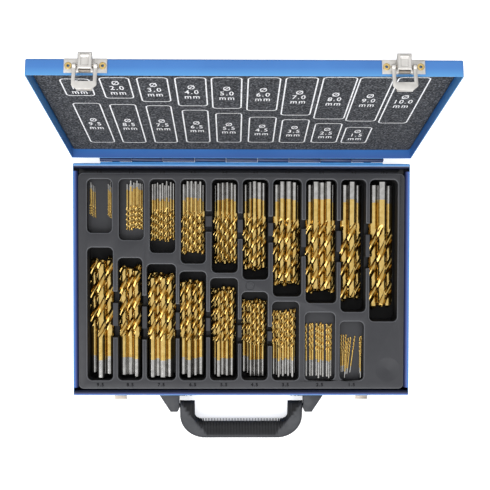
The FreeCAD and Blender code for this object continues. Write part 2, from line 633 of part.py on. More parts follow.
def make_handle_pin(label, side):
    """A steel stub pin, fixed in the bracket. The handle's arm turns on its inner end."""
    return make_pin(label, AT_HOME, (PIVOT_Y, "pivot_height"),
                    f"{side} * handle_span / 2 - handle_pin_depth", "2 * handle_pin_depth",
                    "handle_pin_radius")


# ---------------------------------------------------------------- tray
FIRST_POCKET = f"({TRAY_LEFT} + left_pocket_margin)"
# The back row fills the tray's width, so widths and partitions all stretch by one share.
ROW_LENGTH = " + ".join([f"pocket_width_{entry[0]}" for entry in BACK_ROW]
                        + [f"partition_{entry[0]}" for entry in BACK_ROW[:-1]])
STRETCH = f"(({TRAY_RIGHT} - right_pocket_margin - {FIRST_POCKET}) / ({ROW_LENGTH}))"


def pocket_row(row, along):
    """Each pocket's rectangle: widths and partitions add up from the left, and the shank end is
    against the row's own edge of the tray. along is +1 for the back row and -1 for the front."""
    edge = f"({TRAY_BACK} - back_pocket_margin)" if along > 0 else (
        f"({TRAY_FRONT} + front_pocket_margin)")
    rectangles = {}
    left = FIRST_POCKET
    for size, *_ in row:
        right = f"{left} + pocket_width_{size} * {STRETCH}"
        tip_end = f"{edge} - {along} * (drill_length_{size} + pocket_room_{size})"
        low, high = (tip_end, edge) if along > 0 else (edge, tip_end)
        rectangles[size] = (left, right, low, high)
        left = f"{right} + partition_{size} * {STRETCH}"
    return rectangles


def widened(rectangle, by):
    left, right, low, high = rectangle
    return (f"{left} - {by}", f"{right} + {by}", f"{low} - {by}", f"{high} + {by}")


POCKET_OUTLINES = {**pocket_row(BACK_ROW, 1), **pocket_row(FRONT_ROW, -1)}


def depth_name(size):
    if size in SHALLOW:
        return "shallow_depth"
    return "middle_depth" if size in MIDDLE else "deep_depth"


def notches(row, along):
    """Finger notches in the partitions between deep pockets. Each is a slot, a low pillar and a
    slot, and its middle is beside the middle of the shorter pocket."""
    slots, pillars, whole = [], [], []
    sizes = [entry[0] for entry in row]
    for size, following in zip(sizes, sizes[1:]):
        if "notch_length_" + size not in SIZES:
            continue
        x_low, x_high = POCKET_OUTLINES[size][1], POCKET_OUTLINES[following][0]
        shorter = min(size, following, key=lambda name: size_of["drill_length_" + name])
        low, high = POCKET_OUTLINES[shorter][2:]
        shift = "0" if along > 0 else "front_notch_shift"
        middle = f"(({low}) / 2 + ({high}) / 2 + {shift})"
        near, far = [f"{middle} {sign} notch_length_{size} / 2" for sign in "-+"]
        near_pillar, far_pillar = [f"{middle} {sign} notch_length_{size} * pillar_share / 2"
                                   for sign in "-+"]
        slots += [(x_low, x_high, near, near_pillar), (x_low, x_high, far_pillar, far)]
        pillars.append((x_low, x_high, near_pillar, far_pillar))
        whole.append((x_low, x_high, f"{near} - tray_gauge", f"{far} + tray_gauge"))
    return slots, pillars, whole


def block(rectangle, low, high, radius=None):
    """A box over a rectangle between two heights. With a radius its upright edges are rounded."""
    left, right, front, back = rectangle
    box = doc.addObject("Part::Box", "box")
    for name, text in (("Length", f"{right} - ({left})"), ("Width", f"{back} - ({front})"),
                       ("Height", f"{high} - ({low})"), (".Placement.Base.x", left),
                       (".Placement.Base.y", front), (".Placement.Base.z", low)):
        box.setExpression(name, bound(text))
    if radius is None:
        return box
    doc.recompute()
    rounded = doc.addObject("Part::Fillet", "rounded")
    rounded.Base = box
    upright = [number for number, edge in enumerate(box.Shape.Edges, start=1) if is_upright(edge)]
    rounded.Edges = [(number, evaluate(radius), evaluate(radius)) for number in upright]
    return rounded


def together(members):
    joined = doc.addObject("Part::MultiFuse", "joined")
    joined.Shapes = members
    return joined


def without(base, tool, label="difference"):
    """Base less tool. The volume has to fall, or the tool missed it."""
    difference = doc.addObject("Part::Cut", label)
    difference.Base = base
    difference.Tool = tool
    doc.recompute()
    if difference.Shape.Volume >= base.Shape.Volume:
        raise RuntimeError(f"a cut in {label} removes nothing")
    return difference


def make_tray():
    """One thermoformed sheet: a top plate, a skirt down to the floor, and a cup for each size."""
    outline = (TRAY_LEFT, TRAY_RIGHT, TRAY_FRONT, TRAY_BACK)
    whole = block(outline, "sheet_gauge", "tray_top", "tray_corner")
    under = block(widened(outline, "(-tray_gauge)"), "sheet_gauge", "tray_top - tray_gauge",
                  "tray_corner - tray_gauge")
    slots, pillars, notch_walls = [back + front for back, front in
                                   zip(notches(BACK_ROW, 1), notches(FRONT_ROW, -1))]
    cups, hollows = [], []
    for size, rectangle in POCKET_OUTLINES.items():
        floor = f"tray_top - {depth_name(size)}"
        cups.append(block(widened(rectangle, "tray_gauge"), f"{floor} - tray_gauge", "tray_top"))
        hollows.append(block(rectangle, floor, "tray_top", "pocket_corner"))
    cups += [block(wall, "tray_top - notch_depth - tray_gauge", "tray_top")
             for wall in notch_walls]
    hollows += [block(slot, "tray_top - notch_depth", "tray_top") for slot in slots]
    hollows += [block(pillar, "tray_top - pillar_drop", "tray_top") for pillar in pillars]
    sheet_form = without(whole, without(under, together(cups)))
    return without(sheet_form, together(hollows), "drill_tray")


# ---------------------------------------------------------------- drills
GOLDEN = (math.sqrt(5) - 1) / 2
# How each pile was dropped: where its first drill fell, and the step to each next one, as shares
# of the pocket's width. Piles without an entry fall evenly.
DROPS = {
    "5_0": (0.275, 0.213), "6_0": (0.150, 0.933), "7_0": (0.725, 0.893), "8_0": (0.450, 0.773),
    "9_0": (0.875, 0.153), "10_0": (0.900, 0.113), "9_5": (0.0, 0.973), "8_5": (0.0, 0.873),
    "7_5": (0.775, 0.333), "6_5": (0.025, 0.253), "5_5": (0.025, 0.453), "4_5": (0.400, 0.153),
}
# Where loose small drills lie: stretches of the pocket's width, as shares from its left wall.
SPREADS = {"1_0": ((0.04, 0.30), (0.80, 0.98)), "2_0": ((0.24, 0.98),),
           "1_5": ((0.06, 0.50), (0.10, 0.46), (0.90, 0.98))}
FANS = {"1_0": 3.0, "1_5": 9.0}


def drill_solid(diameter, length, shank_end, along, turn):
    """A drill's outer form: a chamfered shank, the body at full size, and a 118 degree point."""
    radius = diameter / 2
    chamfer = radius * 0.2
    point = radius / math.tan(math.radians(59))
    profile = [(0, 0), (radius - chamfer, 0), (radius, chamfer), (radius, length - point), (0, length)]
    corners = [Vector(x, y, 0) for x, y in profile]
    face = Part.Face(Part.makePolygon(corners + corners[:1]))
    solid = face.revolve(Vector(0, 0, 0), Vector(0, 1, 0), 360)
    facing = 0 if along < 0 else 180
    solid.Placement = Placement(shank_end, Rotation(Vector(0, 0, 1), facing + turn))
    return solid


def resting_places(width, radius, reach, placed):
    """Every spot where a circle could rest: beside one on the floor, on one and a wall, on two."""
    low, high = radius, width - radius
    spots = [(low, radius), (high, radius)]
    for x, z in placed:
        if z - radius < reach:
            aside = math.sqrt(reach ** 2 - (z - radius) ** 2)
            spots += [(x - aside, radius), (x + aside, radius)]
        for wall in (low, high):
            if abs(wall - x) < reach:
                spots.append((wall, z + math.sqrt(reach ** 2 - (wall - x) ** 2)))
    for index, (x, z) in enumerate(placed):
        for other_x, other_z in placed[:index]:
            apart = math.hypot(other_x - x, other_z - z)
            if 0 < apart < 2 * reach:
                rise = math.sqrt(reach ** 2 - apart ** 2 / 4) / apart
                for way in (-1, 1):
                    spot = ((x + other_x) / 2 - way * rise * (other_z - z),
                            (z + other_z) / 2 + way * rise * (other_x - x))
                    if min(x, other_x) <= spot[0] <= max(x, other_x):
                        spots.append(spot)
    return spots


def pile(width, radius, count, spread, first, step):
    """Centres of drills dropped one by one. Each goes to the lowest free place near its drop."""
    gap = size_of["pile_gap"]
    reach = 2 * radius + gap
    placed = []
    for index in range(count):
        low, high = spread[index % len(spread)]
        share = low + (high - low) * ((first + index * step) % 1)
        wanted = radius + gap + share * (width - 2 * radius - 2 * gap)
        spots = resting_places(width - 2 * gap, radius, reach, [(x - gap, z - gap) for x, z in placed])
        spots = [(x + gap, z + gap) for x, z in spots] + [(wanted, radius + gap)]
        free = [spot for spot in spots
                if radius + gap - 1e-9 <= spot[0] <= width - radius - gap + 1e-9
                and spot[1] >= radius + gap - 1e-9
                and all(math.dist(spot, other) >= reach - 1e-6 for other in placed)]
        placed.append(min(free, key=lambda spot: spot[1] + 0.8 * abs(spot[0] - wanted)))
    return placed


def corner_reach(aside):
    """How far a pocket's rounded corner reaches out from the end wall, aside from the side wall."""
    corner = size_of["pocket_corner"]
    return corner - math.sqrt(corner ** 2 - (corner - min(aside, corner)) ** 2)


def make_drills(size, along):
    """All drills of one size, each its own solid, lying on each other in their pocket."""
    count = 5 if size in FIVE_ONLY else 10
    diameter = float(size.replace("_", "."))
    left, right, low, high = [evaluate(text) for text in POCKET_OUTLINES[size]]
    length = size_of["drill_length_" + size]
    floor = size_of["tray_top"] - size_of[depth_name(size)]
    shank_wall = high if along > 0 else low
    first, step = DROPS.get(size, (diameter * 0.37, GOLDEN))
    places = pile(right - left, diameter / 2, count, SPREADS.get(size, ((0.0, 1.0),)), first, step)
    top = max(z for _, z in places)
    bottom = min(z for _, z in places)
    solids = []
    for index, (x, z) in enumerate(places):
        depth_share = (top - z) / max(top - bottom, diameter)
        loose = min(size_of["greatest_slip"], size_of["pocket_room_" + size] * 0.38)
        slip = size_of["end_gap"] + loose * depth_share * (0.4 + 0.6 * ((index * GOLDEN + 0.3) % 1))
        beside = min(x, right - left - x) - diameter / 2
        slip = max(slip, corner_reach(beside) + size_of["corner_gap"])
        bed = min((spot for spot in places if spot[1] < bottom + 0.01), key=lambda spot: abs(spot[0] - x))
        share = bed[0] / (right - left)
        turn = FANS.get(size, 0.0) * share * 2 if share < 0.55 else 0.0
        # A turned drill's line meets the end wall at its own place in the pile.
        moved = slip * math.tan(math.radians(turn))
        shank_end = Vector(left + x + moved, shank_wall - along * slip, floor + z)
        solids.append(drill_solid(diameter, length, shank_end, along, along * turn))
    group = doc.addObject("Part::Feature", "drills_" + size)
    group.Label = "drills_" + size
    group.Shape = Part.makeCompound(solids)
    if floor + top + diameter / 2 > size_of["tray_top"]:
        print(f"note: drills {size} stand {floor + top + diameter / 2 - size_of['tray_top']:.1f} "
              "above the tray")
    return group


# ---------------------------------------------------------------- build, test and write
pieces = [make_base_shell(), make_lid_shell(), make_foam_pad()]
pieces += make_hinge()
pieces += make_latches()
pieces += [make_latch_eyelets(), make_catch_rivets(), make_bracket_rivets(), make_handle()]
for side, name in ((-1, "left"), (1, "right")):
    pieces.append(make_catch("catch_" + name, f"({side} * {LATCH_X})"))
    pieces.append(make_bracket("handle_bracket_" + name, side))
    pieces.append(make_handle_pin("handle_pin_" + name, side))
pieces.append(make_tray())
for row, along in ((BACK_ROW, 1), (FRONT_ROW, -1)):
    pieces += [make_drills(entry[0], along) for entry in row]

doc.recompute()
for item in doc.Objects:
    if "Invalid" in item.State or "Error" in item.State:
        raise RuntimeError(f"{item.Label} failed to build")
for piece in pieces:
    if piece.Shape.isNull() or not piece.Shape.isValid():
        raise RuntimeError(f"{piece.Label} has no valid shape")

os.makedirs("parts", exist_ok=True)
for piece in pieces:
    piece.Shape.exportStep(f"parts/{piece.Label}.step")
print(len(pieces), "nodes,", sum(len(piece.Shape.Solids) for piece in pieces), "solids")
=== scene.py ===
# %% [markdown]
# # A drill case, dressed
# The case is a flat box of folded sheet steel. It stands open: a formed plastic tray full of
# gold-coloured twist drills lies in the base, and a foam pad with a printed chart lines the lid.
# The solids come from the frame, already in place and in metres. They could be rendered as they
# are, but pressed, formed and ground pieces have softer and finer shapes than plain solids. So
# this file gives every piece its finish, and swaps solids for surfaces where the piece needs it.

# %% Load the frame
import json
import math

import bmesh
import bpy
import numpy as np
from mathutils import Matrix, Vector

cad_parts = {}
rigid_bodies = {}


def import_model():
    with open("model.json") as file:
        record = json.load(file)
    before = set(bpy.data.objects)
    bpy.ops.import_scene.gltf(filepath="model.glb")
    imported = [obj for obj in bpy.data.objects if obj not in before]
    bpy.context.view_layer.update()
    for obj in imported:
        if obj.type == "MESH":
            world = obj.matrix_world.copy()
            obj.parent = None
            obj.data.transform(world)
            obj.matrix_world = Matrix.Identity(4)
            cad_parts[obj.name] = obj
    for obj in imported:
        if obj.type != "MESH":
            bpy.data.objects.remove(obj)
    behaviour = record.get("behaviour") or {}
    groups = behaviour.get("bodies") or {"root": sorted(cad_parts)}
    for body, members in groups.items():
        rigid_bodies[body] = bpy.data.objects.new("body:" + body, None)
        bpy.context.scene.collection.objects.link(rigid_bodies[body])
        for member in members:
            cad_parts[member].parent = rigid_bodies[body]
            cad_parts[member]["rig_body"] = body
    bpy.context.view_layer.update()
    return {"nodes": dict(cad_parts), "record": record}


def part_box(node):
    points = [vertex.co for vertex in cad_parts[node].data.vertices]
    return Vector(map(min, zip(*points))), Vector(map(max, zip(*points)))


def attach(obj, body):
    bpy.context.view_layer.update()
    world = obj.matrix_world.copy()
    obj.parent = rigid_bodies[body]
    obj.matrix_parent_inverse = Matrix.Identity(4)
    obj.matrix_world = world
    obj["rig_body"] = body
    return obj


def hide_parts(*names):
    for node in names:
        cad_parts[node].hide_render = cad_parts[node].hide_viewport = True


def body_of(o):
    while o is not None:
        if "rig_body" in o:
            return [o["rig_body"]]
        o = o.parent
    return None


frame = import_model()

MM = 0.001

# %% [markdown]
# ## Sizes
# The surfaces made here have to meet the solids, so the few sizes that both need are repeated
# in millimetres. Lid pieces are drawn shut, from the hinge pin's line, and are then turned back
# by the opening angle, because a lid is much easier to think about when it is level.

# %% Sizes shared by several pieces, in millimetres
CASE_WIDTH, CASE_DEPTH, BASE_HEIGHT, LID_HEIGHT = 356.0, 246.0, 35.0, 14.6
SHEET = 0.8
HINGE_OFFSET = 4.0
OPEN_ANGLE = math.radians(102.6)
PIN = np.array([0.0, CASE_DEPTH / 2 + HINGE_OFFSET, BASE_HEIGHT])
LID_FRONT = -HINGE_OFFSET - CASE_DEPTH
print("hinge pin at", PIN)


# %% Turn lid drawings back to where the lid stands
def open_lid(points):
    """A point (x, y, z) of the shut lid, measured from the pin, turns about X by the opening
    angle backwards and is then moved to the pin's place."""
    x, y, z = np.moveaxis(np.asarray(points, float), -1, 0)
    c, s = math.cos(OPEN_ANGLE), math.sin(OPEN_ANGLE)
    return np.stack([x, y * c + z * s, z * c - y * s], axis=-1) + PIN


print("the lid's front edge stands at", open_lid((0.0, LID_FRONT, 0.0)).round(1))

# %% [markdown]
# ## Making a mesh from arrays
# A pressed or ground piece could be pulled into shape by hand, but then nobody can say why it has
# the shape it has. Here a surface is a grid of points: one direction runs along the piece, the
# other across it. numpy works out all points at once, and the faces follow from the grid's own
# numbering. A grid can close on itself, and its open ends can be shut with a fan of triangles.

# %% Faces of a grid and of its ends
def grid_faces(rows, columns, wrap_rows=False, wrap_columns=False):
    """Quads between neighbouring grid points: corner (i, j) has the number i * columns + j."""
    i = np.arange(rows if wrap_rows else rows - 1)[:, None]
    j = np.arange(columns if wrap_columns else columns - 1)[None, :]
    below, right = (i + 1) % rows, (j + 1) % columns
    quads = np.stack([i * columns + j, i * columns + right, below * columns + right,
                      below * columns + j], axis=-1)
    return quads.reshape(-1, 4)


def cap_faces(ring, centre, turned):
    """A fan of triangles from a centre point to a closed ring of point numbers."""
    following = np.roll(ring, -1)
    ends = (following, ring) if turned else (ring, following)
    return np.stack([ends[0], ends[1], np.full(len(ring), centre)], axis=-1)


print("a grid of 3 by 4 points has", len(grid_faces(3, 4)), "faces")


# %% Objects and their meshes
def new_object(name, data):
    """Makes an object from a mesh, curve, lamp or camera, and puts it in the scene."""
    made = bpy.data.objects.new(name, data)
    bpy.context.collection.objects.link(made)
    return made


def shown_mesh(piece):
    """A mesh of what an object shows: its modifiers applied, its letters turned into faces."""
    bpy.context.view_layer.update()
    graph = bpy.context.evaluated_depsgraph_get()
    return bpy.data.meshes.new_from_object(piece.evaluated_get(graph))


def turn_outward(mesh):
    """Merges doubles, then lets Blender turn every closed surface's faces outwards."""
    work = bmesh.new()
    work.from_mesh(mesh)
    bmesh.ops.remove_doubles(work, verts=work.verts, dist=1e-7)
    bmesh.ops.recalc_face_normals(work, faces=work.faces)
    work.to_mesh(mesh)
    work.free()


def triangles(piece):
    """How many triangles a piece's faces make: a face of n corners makes n - 2."""
    return sum(len(face.vertices) - 2 for face in piece.data.polygons)


print("object helpers ready")


# %% One piece from one or more grids
class Build:
    """Collects points and faces, in millimetres, until they become one mesh object."""

    def __init__(self):
        self.points, self.faces, self.extras, self.count = [], [], [], 0

    def add(self, points, *face_groups, **extras):
        """Each group is an array with one row of point numbers per face. Each extra is an
        attribute with a value per point; the grids of one piece all have the same extras."""
        points = np.asarray(points, float).reshape(-1, 3)
        self.points.append(points)
        for group in face_groups:
            self.faces += (np.asarray(group) + self.count).tolist()
        self.extras.append(extras)
        self.count += len(points)

    def tube(self, rings, closed=False, **extras):
        """rings is an array of shape (stations, around, 3). Unless it is closed, both ends get
        a fan to the middle of their ring."""
        stations, around, _ = rings.shape
        faces = grid_faces(stations, around, wrap_rows=closed, wrap_columns=True)
        points = rings.reshape(-1, 3)
        if closed:
            self.add(points, faces, **extras)
            return
        middles = np.stack([rings[0].mean(0), rings[-1].mean(0)])
        first = cap_faces(np.arange(around), len(points), True)
        last = cap_faces(np.arange(around) + (stations - 1) * around, len(points) + 1, False)
        wide = {name: np.concatenate([values, values[:1], values[-1:]])
                for name, values in extras.items()}
        self.add(np.concatenate([points, middles]), faces, first, last, **wide)

    def finish(self, name, material, sharp=None, outward=True):
        """Makes the object. Edges that bend more than sharp degrees stay crisp."""
        mesh = bpy.data.meshes.new(name)
        mesh.from_pydata((np.concatenate(self.points) * MM).tolist(), [], self.faces)
        for key in sorted(self.extras[0]):
            values = np.concatenate([extra[key] for extra in self.extras])
            mesh.attributes.new(key, "FLOAT", "POINT").data.foreach_set("value", values)
        mesh.validate()
        if outward:
            turn_outward(mesh)
        mesh.shade_smooth()
        if sharp:
            mesh.set_sharp_from_angle(angle=math.radians(sharp))
        mesh.materials.append(material)
        return new_object(name, mesh)


print("piece builder ready")

# %% [markdown]
# ## Finishes
# The real case has satin paint, formed and moulded plastic, foam, screen print, plated steel and
# coated tool steel. Image textures could show them, but they need unwrapping and blur up close.
# Every finish here is a small net of nodes on the piece's own coordinates, so nothing slides when
# the case is opened: a base colour that varies a little, a roughness that breaks up the gloss,
# and a fine relief. Attributes on the surfaces say where a finish changes, such as the bare
# shank of a coated drill, and where sheen and shade are painted into the colour.

# %% A net of nodes
class Net:
    """A node tree in the making."""

    def __init__(self, owner):
        owner.use_nodes = True
        self.nodes, self.links = owner.node_tree.nodes, owner.node_tree.links

    def fill(self, node, inputs):
        """Links each input, given by its name or number, to an output, or sets its value."""
        for key, value in inputs.items():
            socket = node.inputs[key.replace("_", " ") if isinstance(key, str) else key]
            if isinstance(value, bpy.types.NodeSocket):
                self.links.new(value, socket)
            else:
                socket.default_value = value

    def add(self, kind, output, **inputs):
        """Adds a node, fills its inputs, and returns one of its outputs."""
        node = self.nodes.new("ShaderNode" + kind)
        self.fill(node, inputs)
        return node.outputs[output]


print("net of nodes ready")

# %% A node material
FINISHES = {}


class Finish(Net):
    """A node material. Each method adds to the net and returns the new output."""

    def __init__(self, name, **sockets):
        self.material = FINISHES[name] = bpy.data.materials.new(name)
        super().__init__(self.material)
        self.shader = self.nodes["Principled BSDF"]
        self.fill(self.shader, sockets)
        self.place = self.add("TexCoord", "Object")

    def noise(self, size_mm, detail=2.0, stretch=(1, 1, 1)):
        """Cloudy noise whose largest blotches are about size_mm across, less where stretched."""
        place = self.place
        if stretch != (1, 1, 1):
            place = self.add("Mapping", "Vector", Vector=place, Scale=stretch)
        return self.add("TexNoise", "Fac", Vector=place, Scale=1 / (size_mm * MM), Detail=detail)

    def cells(self, size_mm):
        """Distance to the nearest of many scattered points, about size_mm apart."""
        return self.add("TexVoronoi", "Distance", Vector=self.place, Scale=1 / (size_mm * MM))

    def depth(self, high, low):
        """0 above the height high and 1 below the height low, in metres."""
        height = self.add("SeparateXYZ", "Z", Vector=self.place)
        return self.add("MapRange", "Result", Value=height, From_Min=high, From_Max=low)

    def spot(self, x, y, z, radius):
        """1 at a point given in millimetres, falling to 0 at the radius."""
        scale = 1 / (radius * MM)
        place = self.add("Mapping", "Vector", Vector=self.place, Scale=(scale, scale, scale),
                         Location=(-x / radius, -y / radius, -z / radius))
        ball = self.add("TexGradient", "Fac", Vector=place)
        ball.node.gradient_type = "SPHERICAL"
        return ball

    def attribute(self, name):
        """The surface's own attribute of that name."""
        value = self.add("Attribute", "Fac")
        value.node.attribute_name = name
        return value

    def ramp(self, source, *stops):
        """Colours, or greys given as numbers, along a factor."""
        output = self.add("ValToRGB", "Color", Fac=source)
        elements = output.node.color_ramp.elements
        for index, (position, value) in enumerate(stops):
            colour = value if isinstance(value, tuple) else (value, value, value)
            stop = elements[index] if index < 2 else elements.new(position)
            stop.position, stop.color = position, (*colour, 1.0)
        return output

    def drift(self, size_mm, detail, *stops):
        """Colours or greys that drift in clouds of about size_mm."""
        return self.ramp(self.noise(size_mm, detail), *stops)

    def mix(self, factor, first, second, way="MIX"):
        """Colours: the first where the factor is 0, the second where it is 1."""
        node = self.nodes.new("ShaderNodeMix")
        node.data_type, node.blend_type = "RGBA", way
        colours = [(*value, 1.0) if isinstance(value, tuple) else value
                   for value in (first, second)]
        self.fill(node, {0: factor, 6: colours[0], 7: colours[1]})
        return node.outputs[2]

    def surface(self, colour, roughness=None):
        """Drives the shader's colour and, where it isn't a constant, its roughness."""
        self.links.new(colour, self.shader.inputs["Base Color"])
        if roughness:
            self.links.new(roughness, self.shader.inputs["Roughness"])

    def relief(self, output, depth_mm):
        """Bumps whose height runs over depth_mm."""
        normal = self.shader.inputs["Normal"]
        before = {"Normal": link.from_socket for link in normal.links}
        bump = self.add("Bump", "Normal", Height=output, Distance=depth_mm * MM, **before)
        self.links.new(bump, normal)


print("node material ready")


# %% Blue paint
def case_blue():
    """Satin blue paint with a faint orange peel. Along the folded rims the blue is paler, a painted
    sheen; where the sheet is folded away from the light it turns violet, then black, a painted shade."""
    finish = Finish("case_blue", Coat_Weight=0.4, Coat_Roughness=0.12, Specular_IOR_Level=0.55)
    base = finish.drift(55, 3, (0.3, (0.030, 0.180, 0.54)), (0.7, (0.042, 0.215, 0.61)))
    # Painted shade: violet, then near black, where the sheet is turned away from the light.
    deep = finish.attribute("deep")
    dark = finish.ramp(deep, (0.4, (0.030, 0.062, 0.28)), (1.0, (0.005, 0.009, 0.035)))
    shaded = finish.mix(finish.ramp(deep, (0.0, 0.0), (0.4, 1.0)), base, dark)
    # Painted sheen: a paler blue along the rims.
    finish.surface(finish.mix(finish.attribute("fold"), shaded, (0.075, 0.31, 0.67)),
                   finish.drift(9, 3, (0.3, 0.3), (0.7, 0.4)))
    finish.relief(finish.noise(1.3, 1), 0.012)


def hinge_blue():
    """The rolled hinge in the case's blue darkened as painted shade, for a hinge that lies in shadow,
    with a duller coat than the case has.
    """
    finish = Finish("hinge_blue", Coat_Weight=0.2, Coat_Roughness=0.2)
    finish.surface(finish.drift(20, 3, (0.3, (0.006, 0.018, 0.080)), (0.7, (0.010, 0.028, 0.12))),
                   finish.drift(3, 3, (0.3, 0.32), (0.7, 0.48)))
    finish.relief(finish.noise(1.1, 1), 0.012)


case_blue()
hinge_blue()
print("paints", sorted(FINISHES))

# %% Black plastics
# Pockets get painted shade, a colour near black, between these two heights, in metres. The tray's
# front right corner has a round dent: its place, its radius and its depth are in millimetres.
POCKET_SHADE = (0.0275, 0.0140)
TRAY_DENT, DENT_DEPTH = (156, -96, 32, 13), 1.6


def tray_plastic():
    """Vacuum-formed black sheet: fine grain and faint stretch clouds. Deep floors and drawn walls are
    rougher and turn near black as painted shade; the rolled edges are paler, a painted highlight."""
    finish = Finish("tray_plastic", Specular_IOR_Level=0.5)
    flat = finish.drift(38, 4, (0.25, (0.019, 0.020, 0.025)), (0.75, (0.028, 0.029, 0.035)))
    # Painted shade: deep floors and drawn walls turn near black, and rougher.
    depth = finish.mix(1.0, finish.depth(*POCKET_SHADE), finish.attribute("wall"), "LIGHTEN")
    shaded = finish.mix(depth, flat, (0.003, 0.003, 0.004))
    grain = finish.drift(6, 4, (0.3, 0.42), (0.7, 0.55))
    # Painted highlight: the rolled edges of the pockets are paler.
    finish.surface(finish.mix(finish.attribute("painted_lip_highlight"), shaded, (0.085, 0.088, 0.098)),
                   finish.mix(depth, grain, (0.75, 0.75, 0.75)))
    finish.relief(finish.noise(0.55, 2), 0.03)
    finish.relief(finish.noise(26, 2), 0.25)
    finish.relief(finish.spot(*TRAY_DENT), -DENT_DEPTH)


def handle_plastic():
    """Moulded black plastic, slightly greyed, with a fine spark-eroded grain. The sunk ribbed panel
    is darkened as painted shade, most in the grooves between its ribs, and is rougher.
    """
    finish = Finish("handle_plastic", Specular_IOR_Level=0.38)
    base = finish.drift(16, 3, (0.3, (0.024, 0.026, 0.031)), (0.7, (0.038, 0.040, 0.046)))
    rib = finish.attribute("rib")
    grain = finish.drift(5, 3, (0.3, 0.42), (0.7, 0.58))
    finish.surface(finish.mix(rib, base, (0.001, 0.001, 0.002)),
                   finish.mix(rib, grain, (0.8, 0.8, 0.8)))
    finish.relief(finish.noise(0.7, 2), 0.03)


def tray_ink():
    """Moulded size digits, darker and duller than the tray."""
    finish = Finish("digit_ink", Roughness=0.8, Specular_IOR_Level=0.12)
    finish.surface(finish.drift(1.0, 2, (0.35, (0.004, 0.004, 0.005)),
                                (0.7, (0.010, 0.010, 0.012))))


tray_plastic()
handle_plastic()
tray_ink()
print("with plastics", sorted(FINISHES))


# %% Foam and its print
def lid_foam():
    """Open-cell foam: pale struts between dark pores, about a millimetre across."""
    finish = Finish("lid_foam", Roughness=0.92, Specular_IOR_Level=0.15)
    speckle = finish.noise(1.7, 4)
    pores = finish.cells(1.15)
    base = finish.ramp(speckle, (0.32, (0.016, 0.017, 0.020)), (0.52, (0.054, 0.057, 0.065)),
                       (0.72, (0.21, 0.22, 0.24)))
    struts = finish.ramp(pores, (0.0, 0.55), (0.35, 1.0))
    finish.surface(finish.mix(struts, (0.01, 0.01, 0.012), base))
    finish.relief(speckle, 0.9)
    finish.relief(pores, 0.4)


def print_white():
    """Screen print that the foam's pores break up."""
    finish = Finish("chart_print", Roughness=0.85, Specular_IOR_Level=0.2)
    finish.surface(finish.drift(1.4, 3, (0.30, (0.22, 0.22, 0.24)), (0.44, (0.86, 0.87, 0.90))))
    finish.relief(finish.noise(1.2, 3), 0.2)


lid_foam()
print_white()
print("with foam", sorted(FINISHES))


# %% Metals
def coated_steel():
    """Ground high-speed steel with a gold nitride coating. Painted shade darkens the flutes, more
    where a hollow is deeper, and "bare" is 1 on the uncoated shank end. Fine grinding lines run round
    the drill."""
    finish = Finish("coated_drill_steel", Metallic=1.0)
    rings = finish.noise(0.9, 2, (0.25, 3.0, 0.25))
    streaks = finish.noise(5, 3)
    gold = finish.ramp(streaks, (0.3, (0.56, 0.38, 0.11)), (0.7, (0.72, 0.53, 0.20)))
    flute = finish.mix(finish.attribute("groove"), gold, (0.50, 0.33, 0.095))
    silver = finish.ramp(streaks, (0.3, (0.36, 0.355, 0.345)), (0.7, (0.51, 0.502, 0.49)))
    finish.surface(finish.mix(finish.attribute("bare"), flute, silver),
                   finish.ramp(rings, (0.3, 0.13), (0.7, 0.22)))
    finish.relief(rings, 0.006)


def plain_metal(name, dark, light, low, high, grain_mm, metallic):
    """Plated or bright metal: colour and roughness drift between two values."""
    finish = Finish(name, Metallic=metallic)
    finish.surface(finish.drift(grain_mm * 4, 3, (0.3, dark), (0.7, light)),
                   finish.drift(grain_mm, 3, (0.3, low), (0.7, high)))
    finish.relief(finish.noise(grain_mm * 0.6, 2), 0.02)


# Name, darkest and lightest colour, lowest and highest roughness, grain in millimetres, metallic.
METALS = (
    ("latch_plate_metal", (0.66, 0.64, 0.61), (0.80, 0.78, 0.75), 0.40, 0.55, 2.0, 0.72),
    ("catch_plate_metal", (0.30, 0.26, 0.22), (0.44, 0.39, 0.34), 0.35, 0.5, 2.0, 0.8),
    ("eyelet_brass", (0.62, 0.44, 0.16), (0.76, 0.58, 0.26), 0.22, 0.38, 1.5, 1.0),
    ("dark_pin_steel", (0.05, 0.05, 0.055), (0.10, 0.10, 0.11), 0.35, 0.5, 1.5, 0.9),
    ("pin_steel", (0.42, 0.42, 0.43), (0.60, 0.60, 0.61), 0.25, 0.4, 1.5, 1.0),
)
coated_steel()
for row in METALS:
    plain_metal(*row)
print("finishes", sorted(FINISHES))

# %% [markdown]
# ## Camera, floor and light
# The case lies on a white table and is seen from about a metre above its hinge side, so the base
# looks flat and the leaning lid is foreshortened. Lamps alone would give each drill a few hard
# glints and leave the rest of the metal grey. Shiny wares are usually lit inside a tent of
# white cloth instead, so the world here is a tent: evenly bright overhead, and dark below about
# 65 degrees from straight up, which draws dark lines beside the pale bands on every round shank.
# One large soft light from the front adds the shadow under the rim, and brightens the front wall
# of the lid more than the tray. The table glows a little where the camera sees it, so it is
# white and still keeps that shadow.

# %% Camera
CAMERA_PLACE = np.array([-10.26, 71.72, 1091.4]) * MM
CAMERA_TURN = [math.radians(angle) for angle in (-1.889, -0.747, 0.0885)]
LENS_MM, SENSOR_MM = 73.46, 36.0

camera_data = bpy.data.cameras.new("camera")
camera_data.lens, camera_data.sensor_width = LENS_MM, SENSOR_MM
camera = new_object("camera", camera_data)
turn_x, turn_y, turn_z = [Matrix.Rotation(angle, 4, axis) for angle, axis in zip(CAMERA_TURN, "XYZ")]
camera.matrix_world = Matrix.Translation(Vector(CAMERA_PLACE)) @ turn_z @ turn_x @ turn_y
bpy.context.scene.camera = camera
print("camera at", [round(v, 4) for v in CAMERA_PLACE])


# %% Floor
FLOOR_SIZE, FLOOR_GLOW = 3200.0, 0.62


